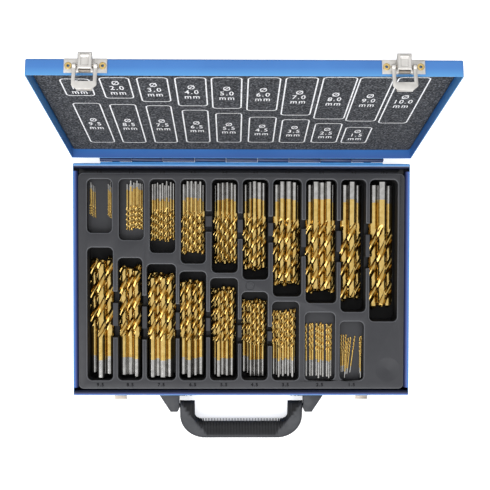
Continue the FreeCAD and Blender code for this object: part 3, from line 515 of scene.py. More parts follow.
def make_floor():
    """A wide white table. Seen directly it glows a little, so it is white where light reaches."""
    finish = Finish("floor_white", Roughness=0.9, Specular_IOR_Level=0.0,
                    Emission_Color=(1, 1, 1, 1))
    finish.surface(finish.drift(300, 2, (0.3, 0.84), (0.7, 0.86)))
    glow = finish.ramp(finish.add("LightPath", "Is Camera Ray"), (0.0, 0.0), (1.0, FLOOR_GLOW))
    finish.links.new(glow, finish.shader.inputs["Emission Strength"])
    half = FLOOR_SIZE / 2
    build = Build()
    build.add([(-half, -half, 0), (half, -half, 0), (half, half, 0), (-half, half, 0)], [(0, 1, 2, 3)])
    floor = build.finish("floor", finish.material, outward=False)


make_floor()
print("floor made")


# %% Light
TENT_LEVEL, BELOW_TENT = 1.05, 0.04
TENT_EDGE = (0.36, 0.52)


def area_light(name, place_mm, target_mm, size_mm, power):
    """A rectangle of light that faces its target."""
    light = bpy.data.lights.new(name, "AREA")
    light.shape, light.energy = "RECTANGLE", power
    light.size, light.size_y = size_mm[0] * MM, size_mm[1] * MM
    lamp = new_object(name, light)
    aim = Vector(target_mm) - Vector(place_mm)
    lamp.matrix_world = (Matrix.Translation(Vector(place_mm) * MM)
                         @ aim.to_track_quat("-Z", "Y").to_matrix().to_4x4())


def make_tent():
    """The light from a direction depends on its upward share, the Z of its unit vector: dark
    below the tent's edge, bright above it, and white wherever the camera sees it directly."""
    world = bpy.data.worlds.new("studio")
    net = Net(world)
    upward = net.add("SeparateXYZ", "Z", Vector=net.add("TexCoord", "Generated"))
    level = net.add("MapRange", "Result", Value=upward, From_Min=TENT_EDGE[0],
                    From_Max=TENT_EDGE[1], To_Min=BELOW_TENT, To_Max=TENT_LEVEL)
    seen = net.add("LightPath", "Is Camera Ray")
    strength = net.add("Mix", 0, Factor=seen, A=level, B=1.0)
    background = net.nodes["Background"].inputs
    net.links.new(strength, background["Strength"])
    background["Color"].default_value = (1.0, 1.0, 1.0, 1.0)
    bpy.context.scene.world = world


make_tent()
area_light("front", (-300, -1200, 1300), (0, 0, 60), (2600, 1300), 29)
bpy.context.scene.view_settings.view_transform = "Standard"
print("lights", [lamp.name for lamp in bpy.data.lights])

# %% [markdown]
# ## Pieces that keep the solid's own form
# Riveted plates, catches, brackets and the formed tray already have the right form as solids.
# Drawing them again would only add chances for a gap, so each is a merged copy of its solid. What
# a solid lacks is the soft edge that pressing or forming leaves: a narrow bevel catches the light
# along every edge.

# %% A merged copy of a solid, with rounded edges
MERGE_WITHIN = 0.002 * MM
FLAT_ANGLE, BEND_ANGLE = math.radians(0.5), math.radians(30)


def dress(piece, slot_name, *nodes):
    """The piece takes the place of its solids and moves with their body; slot_name is not used."""
    body = body_of(frame["nodes"][nodes[0]])
    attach(piece, body if isinstance(body, str) else body[0])
    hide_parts(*nodes)
    return piece


def rounded_copy(node, slot_name, width_mm, finish=None, segments=2):
    """Corners at one place are merged and flat faces joined, so that only real edges are left;
    those that bend more than BEND_ANGLE are rounded over width_mm."""
    mesh = frame["nodes"][node].data.copy()
    mesh.name = node + "_skin"
    work = bmesh.new()
    work.from_mesh(mesh)
    bmesh.ops.remove_doubles(work, verts=work.verts, dist=MERGE_WITHIN)
    bmesh.ops.dissolve_limit(work, angle_limit=FLAT_ANGLE, verts=work.verts, edges=work.edges)
    work.to_mesh(mesh)
    work.free()
    mesh.shade_smooth()
    mesh.materials.clear()
    mesh.materials.append(FINISHES[finish or slot_name])
    piece = new_object(node + "_skin", mesh)
    bevel = piece.modifiers.new("edges", "BEVEL")
    bevel.width, bevel.segments = width_mm * MM, segments
    bevel.limit_method, bevel.angle_limit = "ANGLE", BEND_ANGLE
    bevel.harden_normals = True
    return dress(piece, slot_name, node)


def add_detail(build, name, body, finish_name, sharp=None, outward=True):
    """A detail without a solid of its own moves with the body that it lies on."""
    detail = build.finish(name, FINISHES[finish_name], sharp, outward)
    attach(detail, body)


print("copies keep edges that bend more than", round(math.degrees(BEND_ANGLE)), "degrees")

# %% The copies
# Each row: the name's stem and its endings, the slot, the edges' width, and the finish where it
# isn't the slot's own.
SIDES = ("_left", "_right")
COPIES = (
    ("latch_plate", SIDES, "latch_plate_metal", 0.25),
    ("latch_lever", SIDES, "latch_plate_metal", 0.25),
    ("latch_loop", SIDES, "latch_plate_metal", 0.35),
    ("catch", SIDES, "catch_plate_metal", 0.3),
    ("handle_bracket", SIDES, "handle_plastic", 0.6),
    # The hinge leaves take the darkened blue: painted shade.
    ("hinge_leaf", ("_base", "_lid"), "hinge_blue", 0.15),
    ("latch_eyelets", ("",), "eyelet_brass", 0.25),
    ("catch_rivets", ("",), "pin_steel", 0.25),
    ("bracket_rivets", ("",), "pin_steel", 0.4),
    ("hinge_pin", ("",), "pin_steel", 0.2),
    ("lever_pin", SIDES, "pin_steel", 0.15, "catch_plate_metal"),
    ("loop_pin", SIDES, "pin_steel", 0.15, "catch_plate_metal"),
    ("handle_pin", SIDES, "pin_steel", 0.3, "dark_pin_steel"),
)
for stem, endings, slot_name, *rest in COPIES:
    for ending in endings:
        rounded_copy(stem + ending, slot_name, *rest)
print("copies made")

# %% [markdown]
# ## The tray's rolled lips
# Hot sheet that is drawn into a mould can't turn a sharp corner, so every pocket of the real tray
# starts with a rolled lip, which shows as a thin pale line. A bevel on all edges would swell the
# deep, narrow pockets until they close. Here only the edges of the level top are weighted, and
# the bevel is limited to that weight.

# %% Tray
TRAY_LIP, LIP_SEGMENTS = 1.1, 4
LEVEL_WITHIN = 0.02 * MM
LIP_SLOPES = (0.3, 0.995)


def make_tray():
    """The bevel is made part of the mesh, so that each face can be sorted by its slope, the
    upright share n of its normal: a face gets as much of the walls' painted shade as 1.2 - 1.5 n,
    held to 0 .. 1, and the rolled edges' painted highlight if it lies near the top and n is between
    the two LIP_SLOPES."""
    tray = rounded_copy("drill_tray", "tray_plastic", TRAY_LIP, segments=LIP_SEGMENTS)
    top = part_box("drill_tray")[1].z
    work = bmesh.new()
    work.from_mesh(tray.data)
    weight = work.edges.layers.float.new("bevel_weight_edge")
    for edge in work.edges:
        level = min(corner.co.z for corner in edge.verts) > top - LEVEL_WITHIN
        edge[weight] = float(level and edge.calc_face_angle(0.0) > BEND_ANGLE)
    work.to_mesh(tray.data)
    work.free()
    bevel = tray.modifiers["edges"]
    bevel.limit_method, bevel.use_clamp_overlap = "WEIGHT", False
    bevel.harden_normals = False
    rolled = shown_mesh(tray)
    tray.modifiers.clear()
    tray.data = rolled
    rolled.set_sharp_from_angle(angle=BEND_ANGLE)
    count = len(rolled.polygons)
    facing, middles = np.empty(count * 3), np.empty(count * 3)
    rolled.polygons.foreach_get("normal", facing)
    rolled.polygons.foreach_get("center", middles)
    slope, height = np.abs(facing[2::3]), middles[2::3]
    # How much painted shade a drawn wall gets.
    wall = np.clip(1.2 - 1.5 * slope, 0, 1)
    # Faces that get the painted highlight of the rolled edges.
    painted_lip_highlight = ((slope < LIP_SLOPES[1]) * (slope > LIP_SLOPES[0])
           * (height > top - 1.2 * TRAY_LIP * MM))
    rolled.attributes.new("wall", "FLOAT", "FACE").data.foreach_set("value", wall)
    rolled.attributes.new("painted_lip_highlight", "FLOAT", "FACE").data.foreach_set("value", painted_lip_highlight.astype(float))
    print("tray faces", count, "of them on lips", int(painted_lip_highlight.sum()))


make_tray()

# %% [markdown]
# ## Folded top of the hinge's fixed leaf
# Between the case's rim and the hinge barrel the fixed leaf is folded over the wall. It is painted
# with the case, and it closes the slit that the swinging knuckles would otherwise leave. A box
# would do, but a short profile that is pushed along the hinge also gives the fold its round edge.

# %% Leaf fold
FOLD_PROFILE = np.array([(122.8, 34.1), (124.1, 34.1), (124.3, 34.3), (124.3, 34.6),
                         (124.1, 34.8), (122.8, 34.8)])
# FOLD_SHEEN is how much painted sheen the leaf's fold gets, as on the case's rims.
FOLD_END_GAP, FOLD_SHEEN = 0.4, 0.8


def make_leaf_fold():
    """The profile's (y, z) pairs, at both ends of the hinge leaf, joined by one row of faces."""
    low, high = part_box("hinge_leaf_base")
    half_length = (high.x - low.x) / 2 / MM - FOLD_END_GAP
    rings = np.zeros((2, len(FOLD_PROFILE), 3))
    rings[..., 0] = np.array([-half_length, half_length])[:, None]
    rings[..., 1:] = FOLD_PROFILE
    build = Build()
    build.tube(rings, fold=np.full(2 * len(FOLD_PROFILE), FOLD_SHEEN))
    add_detail(build, "hinge_leaf_fold", "base", "case_blue", 50)


make_leaf_fold()
print("leaf fold made")

# %% [markdown]
# ## Pressed faces of the levers
# A latch lever's cover is pressed: its edges roll over, a short bar stands near the tip for the
# thumb, and a shallow rectangle is sunk below it. Such steps could be cut in with booleans, but
# their edges would be sharp. The face is a grid instead, whose height is a sum of smooth steps,
# laid on the lever's flat cover.

# %% Lever faces
LEVER_WIDTH, LEVER_LOW, LEVER_HIGH, LEVER_STAND = 11.6, 3.8, 17.6, 6.2
COVER_RISE, EDGE_DROP, EDGE_ROLL = 0.55, 0.9, 1.3
# Thumb bar, sunk rectangle and its raised middle. Each step: its height, half its width, half its
# length, how far its middle lies below the tip, and the softness of its edge.
LEVER_STEPS = ((0.45, 3.6, 0.75, 2.4, 0.6), (-0.45, 3.0, 3.4, 7.6, 0.7),
               (0.18, 2.4, 2.8, 7.6, 0.5))


def smooth_box(x, y, half_x, half_y, middle_y, soft):
    """1 inside a rectangle, 0 outside, with a ramp of the width soft between."""
    side = np.minimum(half_x - np.abs(x), half_y - np.abs(y - middle_y))
    ramp = np.clip(side / soft + 0.5, 0, 1)
    return ramp * ramp * (3 - 2 * ramp)


def make_lever_face(side):
    """Within EDGE_ROLL of its rim the cover falls along a quarter circle, stretched to
    EDGE_DROP. The steps are added to that."""
    box_low, box_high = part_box(f"latch_lever_{side}")
    centre = (box_low.x + box_high.x) / 2 / MM
    x, h = np.meshgrid(np.linspace(-0.5, 0.5, 61) * LEVER_WIDTH,
                       np.linspace(LEVER_LOW, LEVER_HIGH, 71))
    inset = np.minimum.reduce([LEVER_WIDTH / 2 - np.abs(x), h - LEVER_LOW, LEVER_HIGH - h])
    rolled = EDGE_DROP * (1 - np.sqrt(1 - np.clip(1 - inset / EDGE_ROLL, 0, 1) ** 2))
    face = COVER_RISE - rolled
    for rise, half_x, half_y, below_tip, soft in LEVER_STEPS:
        face += rise * smooth_box(x, h, half_x, half_y, LEVER_HIGH - below_tip, soft)
    place = open_lid(np.stack([x + centre, LID_FRONT - LEVER_STAND - face, h], axis=-1))
    build = Build()
    build.add(place, grid_faces(*x.shape))
    add_detail(build, f"latch_lever_{side}_face", f"lever_{side}",
               "latch_plate_metal", outward=False)


for side in ("left", "right"):
    make_lever_face(side)
print("lever faces made")

# %% [markdown]
# ## Base and lid shells
# Both shells are pans pressed from 0.8 mm sheet. A box with a thickness modifier would come close,
# but the round folds are what catches the light. So rings of points run round the pan, from the
# middle of its outside, over the folds, to the middle of its inside, and a closed skin follows
# from joining ring to ring. The base's rim is folded inwards into a hem along each wall, which
# gives the real case its broad bright edge.

# %% Rings round a pan
def rectangle_ring(half_width, half_depth, radius, per_corner=6):
    """Points round a rectangle with rounded corners, starting at the right of the back wall."""
    angles = np.linspace(0, math.pi / 2, per_corner)
    corners = []
    for quarter, (sx, sy) in enumerate(((1, 1), (-1, 1), (-1, -1), (1, -1))):
        turn = angles + quarter * math.pi / 2
        corners.append(np.stack([sx * (half_width - radius) + radius * np.cos(turn),
                                 sy * (half_depth - radius) + radius * np.sin(turn)], axis=-1))
    return np.concatenate(corners)


def arc(centre_inset, centre_height, radius, start, end, steps=6):
    """(inset, height) pairs along an arc: the centre, less the radius times the angle's cosine,
    and plus the radius times its sine. Angle 0 points outwards from the wall and 90 up."""
    angles = np.radians(np.linspace(start, end, steps))
    return [(centre_inset - radius * math.cos(a), centre_height + radius * math.sin(a))
            for a in angles]


def pan_rings(width, depth, corner, profile):
    """One ring for each (inset, height) of the profile: the ring shrinks by its inset."""
    rings = []
    for inset, height in profile:
        ring = rectangle_ring(width / 2 - inset, depth / 2 - inset, max(corner - inset, 0.25))
        rings.append(np.column_stack([ring, np.full(len(ring), height)]))
    return np.stack(rings)


# The outside of a pan's floor and its lower fold, and the same fold and floor inside.
FOLD, CORNER, FLOOR_INSET = 1.4, 1.4, 9.0
PAN_OUTSIDE = [(FLOOR_INSET, 0.0), (2.0, 0.0)] + arc(CORNER, CORNER, CORNER, -80, 0)
PAN_INSIDE = [(SHEET, 2.4), (SHEET + 0.2, 1.3), (SHEET + 0.7, 0.85), (FLOOR_INSET, SHEET)]
print("pan profile outside", len(PAN_OUTSIDE), "inside", len(PAN_INSIDE))

# %% The base's hem
HEM_FLAT, HEM_SLOPE, HEM_CORNER_GAP, HEM_STATIONS = 3.2, 2.1, 3.0, 60
# How much painted sheen along the fold and how much painted shade lies at each inset, wall by
# wall: "y" is for both side walls.
HEM_PAINTED_SHEEN = {"y": ([0.4, 1.4], [0.1, 0.0]), "back": ([0.6, 2.4, 3.2], [1.0, 0.6, 0.0]),
            "front": ([0.4, 1.0], [0.35, 0.0])}
HEM_PAINTED_SHADE = {"y": ([0.9, 1.9, 2.9, 4.2, 5.0], [0.0, 0.25, 0.45, 0.9, 1.0]),
            "back": ([1.6, 2.4, 2.9, 4.0], [0.0, 0.3, 0.9, 1.0]),
            "front": ([0.5, 1.4, 2.3, 3.2], [0.1, 0.42, 0.7, 1.0])}


def hem_profile():
    """The hem's skin seen along the wall: over the fold, level, then down the slope, and back
    underneath. Pairs are (inset, height)."""
    bend, end = HEM_FLAT - 0.3, HEM_FLAT + HEM_SLOPE
    drops = [(1.9, 0.08), (bend - 0.5, 0.22), (bend, 0.4), (bend + 0.45, 0.7), (bend + 1.2, 1.3),
             (end, HEM_SLOPE + 0.2), (end + 0.1, HEM_SLOPE + 0.5), (end - 0.25, HEM_SLOPE + 0.85),
             (bend + 0.2, 1.4), (bend - 0.4, SHEET + 0.25), (SHEET, SHEET + 0.4)]
    return (arc(FOLD, BASE_HEIGHT - FOLD, FOLD, 52, 90, 5)
            + [(inset, BASE_HEIGHT - drop) for inset, drop in drops])


def add_hems(build):
    """Each wall's hem is that profile, the same at every station along the wall."""
    half_x, half_y = CASE_WIDTH / 2, CASE_DEPTH / 2
    section = np.array(hem_profile())
    side_length = half_y - HEM_FLAT - HEM_SLOPE - HEM_CORNER_GAP
    for along, length, reach in (("x", half_x - SHEET, half_y), ("y", side_length, half_x)):
        stations = np.linspace(-length, length, HEM_STATIONS)
        for side in (-1, 1):
            wall = along if along == "y" else ("front", "", "back")[side + 1]
            glow = np.interp(section[:, 0], *HEM_PAINTED_SHEEN[wall])
            deep = np.interp(section[:, 0], *HEM_PAINTED_SHADE[wall])
            rings = np.zeros((len(stations), len(section), 3))
            first, second = (0, 1) if along == "x" else (1, 0)
            rings[:, :, first] = stations[:, None]
            rings[:, :, second] = side * (reach - section[:, 0])
            rings[:, :, 2] = section[:, 1]
            # Painted sheen near the outer fold, painted shade down the inner slope, wall by wall.
            build.tube(rings, fold=np.tile(glow, len(stations)), deep=np.tile(deep, len(stations)))


print("hem profile points", len(hem_profile()))


# %% Base shell
RIM_SHEEN = 1.3


def make_base():
    """The pan: up the outside, over the rim's round fold, and down the inside; then the hems. A
    painted sheen covers the outer fold's top, down to RIM_SHEEN below the rim; the whole inside gets
    painted shade."""
    profile = (PAN_OUTSIDE + [(0.0, 12.0), (0.0, 24.0)]
               + arc(FOLD, BASE_HEIGHT - FOLD, FOLD, 0, 55)
               + [(SHEET, BASE_HEIGHT - 2.0), (SHEET, 20.0)] + PAN_INSIDE)
    build = Build()
    rings = pan_rings(CASE_WIDTH, CASE_DEPTH, CORNER, profile)
    inset, z = np.array(profile).T
    # Painted sheen on the outer fold's top.
    fold = (z > BASE_HEIGHT - RIM_SHEEN) * (inset < SHEET) * 1.0
    # Painted shade over the whole inside of the pan.
    inside = (z > 0.1) * (inset >= SHEET) * 1.0
    build.tube(rings, fold=np.repeat(fold, rings.shape[1]), deep=np.repeat(inside, rings.shape[1]))
    add_hems(build)
    shell = build.finish("base_shell_skin", FINISHES["case_blue"], 50)
    dress(shell, "case_blue", "base_shell")
    print("base shell triangles", triangles(shell))


make_base()


# %% Lid shell
RIM_GAP, RIM_ROUND, LID_SHEEN = 0.3, 0.3, 0.8
# How dark the painted shade of the hinge-side wall is, where it starts, measured from that wall,
# and the length over which it grows.
LID_PAINTED_SHADE, SHADE_START, SHADE_LENGTH = 0.26, 6.0, 4.0


def make_lid():
    """Drawn shut: the open side is down. Heights run from the panel, so they are turned over. The
    hinge-side wall gets painted shade on its inside, more towards its rim, and no painted sheen there;
    elsewhere the rim's edge gets painted sheen."""
    tall = LID_HEIGHT - RIM_GAP
    profile = (PAN_OUTSIDE + [(0.0, 7.0)]
               + arc(RIM_ROUND, tall - RIM_ROUND, RIM_ROUND, 0, 90, 4)
               + arc(SHEET - RIM_ROUND, tall - RIM_ROUND, RIM_ROUND, 90, 180, 4) + PAN_INSIDE)
    rings = pan_rings(CASE_WIDTH, CASE_DEPTH, CORNER, profile)
    rings[:, :, 2] = LID_HEIGHT - rings[:, :, 2]
    rings[:, :, 1] = -rings[:, :, 1] - HINGE_OFFSET - CASE_DEPTH / 2
    inset, z = np.array(profile).T
    # Painted sheen along the rim's edge.
    edge = (z > tall - LID_SHEEN) * 1.0
    inside = np.clip((z - 1) / (tall - 1.3), 0, 1) * (inset > SHEET - 0.01)
    # Painted shade on the inside of the hinge-side wall.
    hinge_wall_shade = (np.clip((rings[..., 1] + HINGE_OFFSET + SHADE_START) / SHADE_LENGTH, 0, 1)
                  * inside[:, None])
    build = Build()
    build.tube(open_lid(rings), fold=np.repeat(edge, rings.shape[1]) * (1 - hinge_wall_shade.reshape(-1)),
               deep=LID_PAINTED_SHADE * hinge_wall_shade.reshape(-1))
    shell = build.finish("lid_shell_skin", FINISHES["case_blue"], 50)
    dress(shell, "case_blue", "lid_shell")


make_lid()
print("lid shell made")

# %% [markdown]
# ## Twist drills
# A jobber drill is a ground rod with two helical flutes. In cross-section it has two lands, each
# with a narrow full-width margin at its leading edge and a slightly relieved back, and two round
# hollows that leave only a thin web between them. That cross-section turns once in about 5.4
# diameters. Towards the shank the hollows rise out of the metal, which gives them their tongue-
# shaped ends, and at the point everything is cut back to a 118 degree cone. A screw modifier would
# make the twist but not those ends. One formula for the radius at (angle, distance) covers all
# of it, so every drill is a single closed skin.

# %% Where each drill lies, read from its solid
def mesh_arrays(mesh):
    """A triangle mesh's points, and a row of three point numbers for each triangle."""
    points = np.empty(len(mesh.vertices) * 3, np.float32)
    mesh.vertices.foreach_get("co", points)
    corners = np.empty(len(mesh.loops), np.int32)
    mesh.loops.foreach_get("vertex_index", corners)
    return points.reshape(-1, 3).astype(float), corners.reshape(-1, 3)


def separate_parts(mesh):
    """Groups a mesh's vertices by the solid that they belong to: corners of the same face share
    the lowest label until nothing changes. Vertices at one place count as one."""
    places, corners = mesh_arrays(mesh)
    spots, number = np.unique(np.round(places, 6), axis=0, return_inverse=True)
    corners = number.reshape(-1)[corners]
    label = np.arange(len(spots))
    while True:
        lowest = label[corners].min(axis=1)
        fresh = label.copy()
        for corner in range(3):
            np.minimum.at(fresh, corners[:, corner], lowest)
        if np.array_equal(fresh, label):
            return [spots[label == value] for value in np.unique(label)]
        label = fresh


def drill_axis(spots):
    """(shank end centre, tip), in millimetres. The tip is the one point on the axis; the shank's
    end is the ring that is furthest from it."""
    spots = spots / MM
    along = np.linalg.svd(spots - spots.mean(0), full_matrices=False)[2][0]
    reach = (spots - spots.mean(0)) @ along
    ends = []
    for sign in (1, -1):
        ring = spots[sign * reach > (sign * reach).max() - 0.02]
        ends.append((len(ring), ring.mean(0)))
    ends.sort(key=lambda end: end[0])
    return ends[1][1], ends[0][1]


print("first 10 mm drill", [p.round(1).tolist() for p in
                            drill_axis(separate_parts(frame["nodes"]["drills_10_0"].data)[0])])


# %% The cross-section
FLUTE_LENGTHS = {"1_0": 12, "1_5": 18, "2_0": 24, "2_5": 30, "3_0": 33, "3_5": 39, "4_0": 43,
                 "4_5": 47, "5_0": 52, "5_5": 57, "6_0": 57, "6_5": 63, "7_0": 69, "7_5": 69,
                 "8_0": 75, "8_5": 75, "9_0": 81, "9_5": 81, "10_0": 87}
HALF_POINT = math.radians(59)
LAND_ANGLE, MARGIN_ANGLE = math.radians(86), math.radians(9)
RELIEF, WEB = 0.955, 0.20


def section(around):
    """Angles and radii (as shares of the drill's radius) of a cross-section, and the even angles
    that its points take on the full shank: margin, land, then the hollow, each half twice. The
    hollow is the arc of a circle that touches the web and ends at the heel: with reach e and rise
    h from the web's point to the heel, its radius is (e*e + h*h) / 2h."""
    land = np.linspace(MARGIN_ANGLE * 1.15, LAND_ANGLE, max(around // 6, 3))
    count = around // 2 - len(land) - 1
    half = (math.pi - LAND_ANGLE) / 2
    reach, rise = RELIEF * math.sin(half), RELIEF * math.cos(half) - WEB
    arc = (reach * reach + rise * rise) / (2 * rise)
    turn = np.linspace(-1, 1, count)[1:-1] * math.asin(reach / arc)
    across, up = arc * np.sin(turn), WEB + arc * (1 - np.cos(turn))
    hollow = math.pi - half + np.arctan2(across, up)
    even = math.pi - half + half * np.linspace(-1, 1, count)[1:-1]
    fixed = np.concatenate([[0.0, MARGIN_ANGLE], land])
    radii = np.concatenate([[1.0, 1.0], np.full(len(land), RELIEF), np.hypot(across, up)])
    angles, evenly = [np.concatenate([fixed, part, fixed + math.pi, part + math.pi])
                      for part in (hollow, even)]
    return angles, evenly, np.concatenate([radii, radii])


print("section radii", section(20)[2][:10].round(2).tolist())

# %% The skin of one drill
# The hollows fade out over FADE diameters, and OVERFILL closes even their deepest point. What is
# then above FULL_FROM is ground down to SHANK_SHARE, but the margins, above MARGIN_FROM, stay
# at the full radius. GROOVE_GAIN gives a shallow hollow as dark a painted shade as a deep one.
LEAD, RINGS_PER_TURN, POINT_RINGS, SHANK_RINGS = 5.44, 26, 7, 4
FADE, FADE_POWER, OVERFILL, GROOVE_GAIN = 1.1, 1.6, 1.02, 1.4
SHANK_SHARE, FULL_FROM, MARGIN_FROM = 0.985, 0.97, 0.99
CHAMFER, CHAMFER_STEP, SHANK_GAP, COAT_EDGE = 0.2, 0.12, 0.02, 0.15


def drill_skin(diameter, length, flute_length, spin, around, bare):
    """Rings from the shank's end to the point, along +Z from the origin, and two attributes: how
    deep in a flute each point lies, and whether it is on the bare end. A ring's shares are the
    section's, raised by the part of the fade that is still to come, to the power FADE_POWER, and
    held to 1; the ring turns once in LEAD diameters, and the point's cone cuts its radius off."""
    radius = diameter / 2
    angles, even, shares = section(around)
    point = radius / math.tan(HALF_POINT)
    shank = length - flute_length
    steps = int(math.ceil((flute_length - point) / (LEAD * diameter / RINGS_PER_TURN)))
    heights = np.concatenate([
        [0.0, radius * CHAMFER, radius * CHAMFER + CHAMFER_STEP, bare - COAT_EDGE,
         bare + COAT_EDGE],
        np.linspace(bare + COAT_EDGE, shank - SHANK_GAP * diameter, SHANK_RINGS)[1:],
        np.linspace(shank, length - point, steps),
        length - point * np.linspace(1, 0, POINT_RINGS)[1:]])
    past = np.clip((heights - shank) / (FADE * diameter), 0, 1)
    rise = (1 - past) ** FADE_POWER
    body = np.where(heights[:, None] < shank, 1.0,
                    np.minimum(1.0, shares + rise[:, None] * (1 - WEB) * OVERFILL))
    filled = np.clip((body - shares) / (1.001 - shares), 0, 1)
    ground = SHANK_SHARE + (1 - SHANK_SHARE) * (shares > MARGIN_FROM)
    body = np.where(body > FULL_FROM, ground, body)
    depth = np.clip((1 - body) / (1 - WEB) * GROOVE_GAIN, 0, 1)
    shape = body * radius
    shape[0] = radius * (1 - CHAMFER)
    cone = (length - heights) * math.tan(HALF_POINT)
    shape = np.minimum(shape, np.maximum(cone, 1e-3)[:, None])
    twist = 2 * math.pi * np.maximum(heights - shank, 0) / (LEAD * diameter) + spin
    turned = angles + (even - angles) * filled + twist[:, None]
    rings = np.stack([shape * np.cos(turned), shape * np.sin(turned),
                      np.broadcast_to(heights[:, None], shape.shape)], axis=-1)
    plain = np.outer(heights < bare, np.ones(len(angles)))
    return rings, depth.reshape(-1), plain.reshape(-1)


def placed(rings, start, end):
    """Turns rings drawn along +Z so that they run from start towards end."""
    along = (end - start) / np.linalg.norm(end - start)
    side = np.cross([0.0, 0.0, 1.0], along)
    side /= np.linalg.norm(side)
    up = np.cross(along, side)
    return start + rings[..., :1] * side + rings[..., 1:2] * up + rings[..., 2:] * along


print("rings and points round a 5 mm drill", drill_skin(5.0, 86.0, 52, 0.0, 32, 17.8)[0].shape[:2])

# %% All drills
SMALL_BELOW, SMALL_BARE, BARE, BARE_GROWTH, BARE_SPREAD = 2.2, 5.5, 16.0, 0.35, 1.1
GOLDEN_SHARE, GOLDEN_TURN = 0.618, 2.4
SMALL_AROUND, DRILL_AROUND = 20, 32


def make_drills(size):
    """One mesh for a pile. The golden ratio spreads the drills' turns and bare lengths evenly."""
    diameter = float(size.replace("_", "."))
    axes = sorted((drill_axis(part) for part in
                   separate_parts(frame["nodes"]["drills_" + size].data)), key=lambda a: a[0][0])
    small = diameter < SMALL_BELOW
    around = SMALL_AROUND if small else DRILL_AROUND
    build = Build()
    for index, (start, end) in enumerate(axes):
        length = float(np.linalg.norm(end - start))
        bare = ((SMALL_BARE if small else BARE) + BARE_GROWTH * diameter
                + BARE_SPREAD * ((index * GOLDEN_SHARE) % 1))
        rings, depth, plain = drill_skin(diameter, length, FLUTE_LENGTHS[size],
                                         index * GOLDEN_TURN + diameter, around, bare)
        # How deep a point lies in its flute becomes the flutes' painted shade.
        build.tube(placed(rings, start, end), groove=depth, bare=plain)
    piece = build.finish("drills_" + size + "_skin", FINISHES["coated_drill_steel"], 48)
    dress(piece, "coated_drill_steel", "drills_" + size)
    return len(axes), triangles(piece)


for size in FLUTE_LENGTHS:
    print(size, "drills and triangles", make_drills(size))

# %% [markdown]
# ## Foam pad and its chart
# A sheet of open-cell foam fills the lid and presses the drills down when it is shut. Its face is
# printed with a chart: one rounded outline for each pocket, as long as that pocket, and the size
# in it on three lines. A scan of the chart could be laid over the foam, but its lines would
# blur. It is drawn as thin shapes instead, in the pad's own flat coordinates, x across and s up
# from the hinge, and laid on the foam at the end.

# %% Foam
FOAM_THICK, FOAM_GAP = 5.0, 0.8
FOAM_SWELL, SWELL_EDGE, FOAM_SINK, SINK_EDGE = 0.14, 8, 1.2, 2.6
FOAM_FACE = LID_HEIGHT - SHEET - FOAM_THICK


def on_foam(x, s, rise):
    """A point of the pad's face: s is measured from the lid's hinge-side wall."""
    return open_lid(np.stack(np.broadcast_arrays(x, -HINGE_OFFSET - s, FOAM_FACE - rise), axis=-1))


def make_foam():
    """The face is a grid: a swell of two crossed, wandering waves, and near the rim a sink that
    grows with the square of the way into SINK_EDGE. The back is flat."""
    edge = SHEET + FOAM_GAP
    xs = np.linspace(-CASE_WIDTH / 2 + edge, CASE_WIDTH / 2 - edge, 181)
    ss = np.linspace(edge, CASE_DEPTH - edge, 123)
    x, s = np.meshgrid(xs, ss)
    swell = FOAM_SWELL * (np.sin(x / 17 + 1.3 * np.sin(s / 31))
                          * np.cos(s / 23 + 0.7 * np.sin(x / 41)))
    inset = np.minimum.reduce([x - xs[0], xs[-1] - x, s - ss[0], ss[-1] - s])
    sink = FOAM_SINK * (1 - np.clip(inset / SINK_EDGE, 0, 1)) ** 2
    face = on_foam(x, s, swell * np.clip(inset / SWELL_EDGE, 0, 1) - sink)
    back = on_foam(x, s, np.full_like(x, -FOAM_THICK + 0.05))
    rows, columns = x.shape
    count = rows * columns
    grid = grid_faces(rows, columns)
    number = np.arange(count).reshape(rows, columns)
    ring = np.concatenate([number[0], number[1:, -1], number[-1, -2::-1], number[-2:0:-1, 0]])
    after = np.roll(ring, -1)
    build = Build()
    build.add(np.concatenate([face.reshape(-1, 3), back.reshape(-1, 3)]), grid,
              grid[:, ::-1] + count, np.stack([ring, after, after + count, ring + count], axis=-1))
    foam = build.finish("lid_foam_sheet", FINISHES["lid_foam"], 60)
    dress(foam, "lid_foam", "lid_foam_pad")


make_foam()
print("foam face at height", FOAM_FACE)


# %% The chart's outlines
# Each entry: size, left and right across the lid, low and high up from the hinge side.
CHART = [
    ("1.0", -156.0, -130.3, 172.0, 215.2), ("2.0", -122.5, -96.7, 165.6, 218.6),
    ("3.0", -91.1, -64.4, 156.6, 218.9), ("4.0", -59.1, -32.0, 145.2, 219.3),
    ("5.0", -28.4, -1.5, 138.3, 219.6), ("6.0", 2.7, 31.1, 132.4, 219.9),
    ("7.0", 34.7, 62.8, 119.2, 220.3), ("8.0", 66.1, 95.7, 108.0, 221.2),
    ("9.0", 97.1, 126.2, 101.6, 220.9), ("10.0", 129.1, 157.1, 95.9, 221.3),
    ("9.5", -154.6, -129.2, 29.0, 152.8), ("8.5", -121.8, -97.3, 28.4, 149.6),
    ("7.5", -89.2, -65.4, 28.8, 146.4), ("6.5", -56.9, -32.1, 30.0, 134.0),
    ("5.5", -26.0, -0.8, 30.3, 125.1), ("4.5", 5.6, 32.0, 30.6, 114.0),
    ("3.5", 37.1, 63.8, 30.1, 106.6), ("2.5", 69.5, 96.4, 30.4, 95.0),
    ("1.5", 100.3, 126.6, 29.3, 83.2),
]
LINE_WIDTH, LINE_CORNER, PRINT_RISE = 1.25, 4.5, 0.22


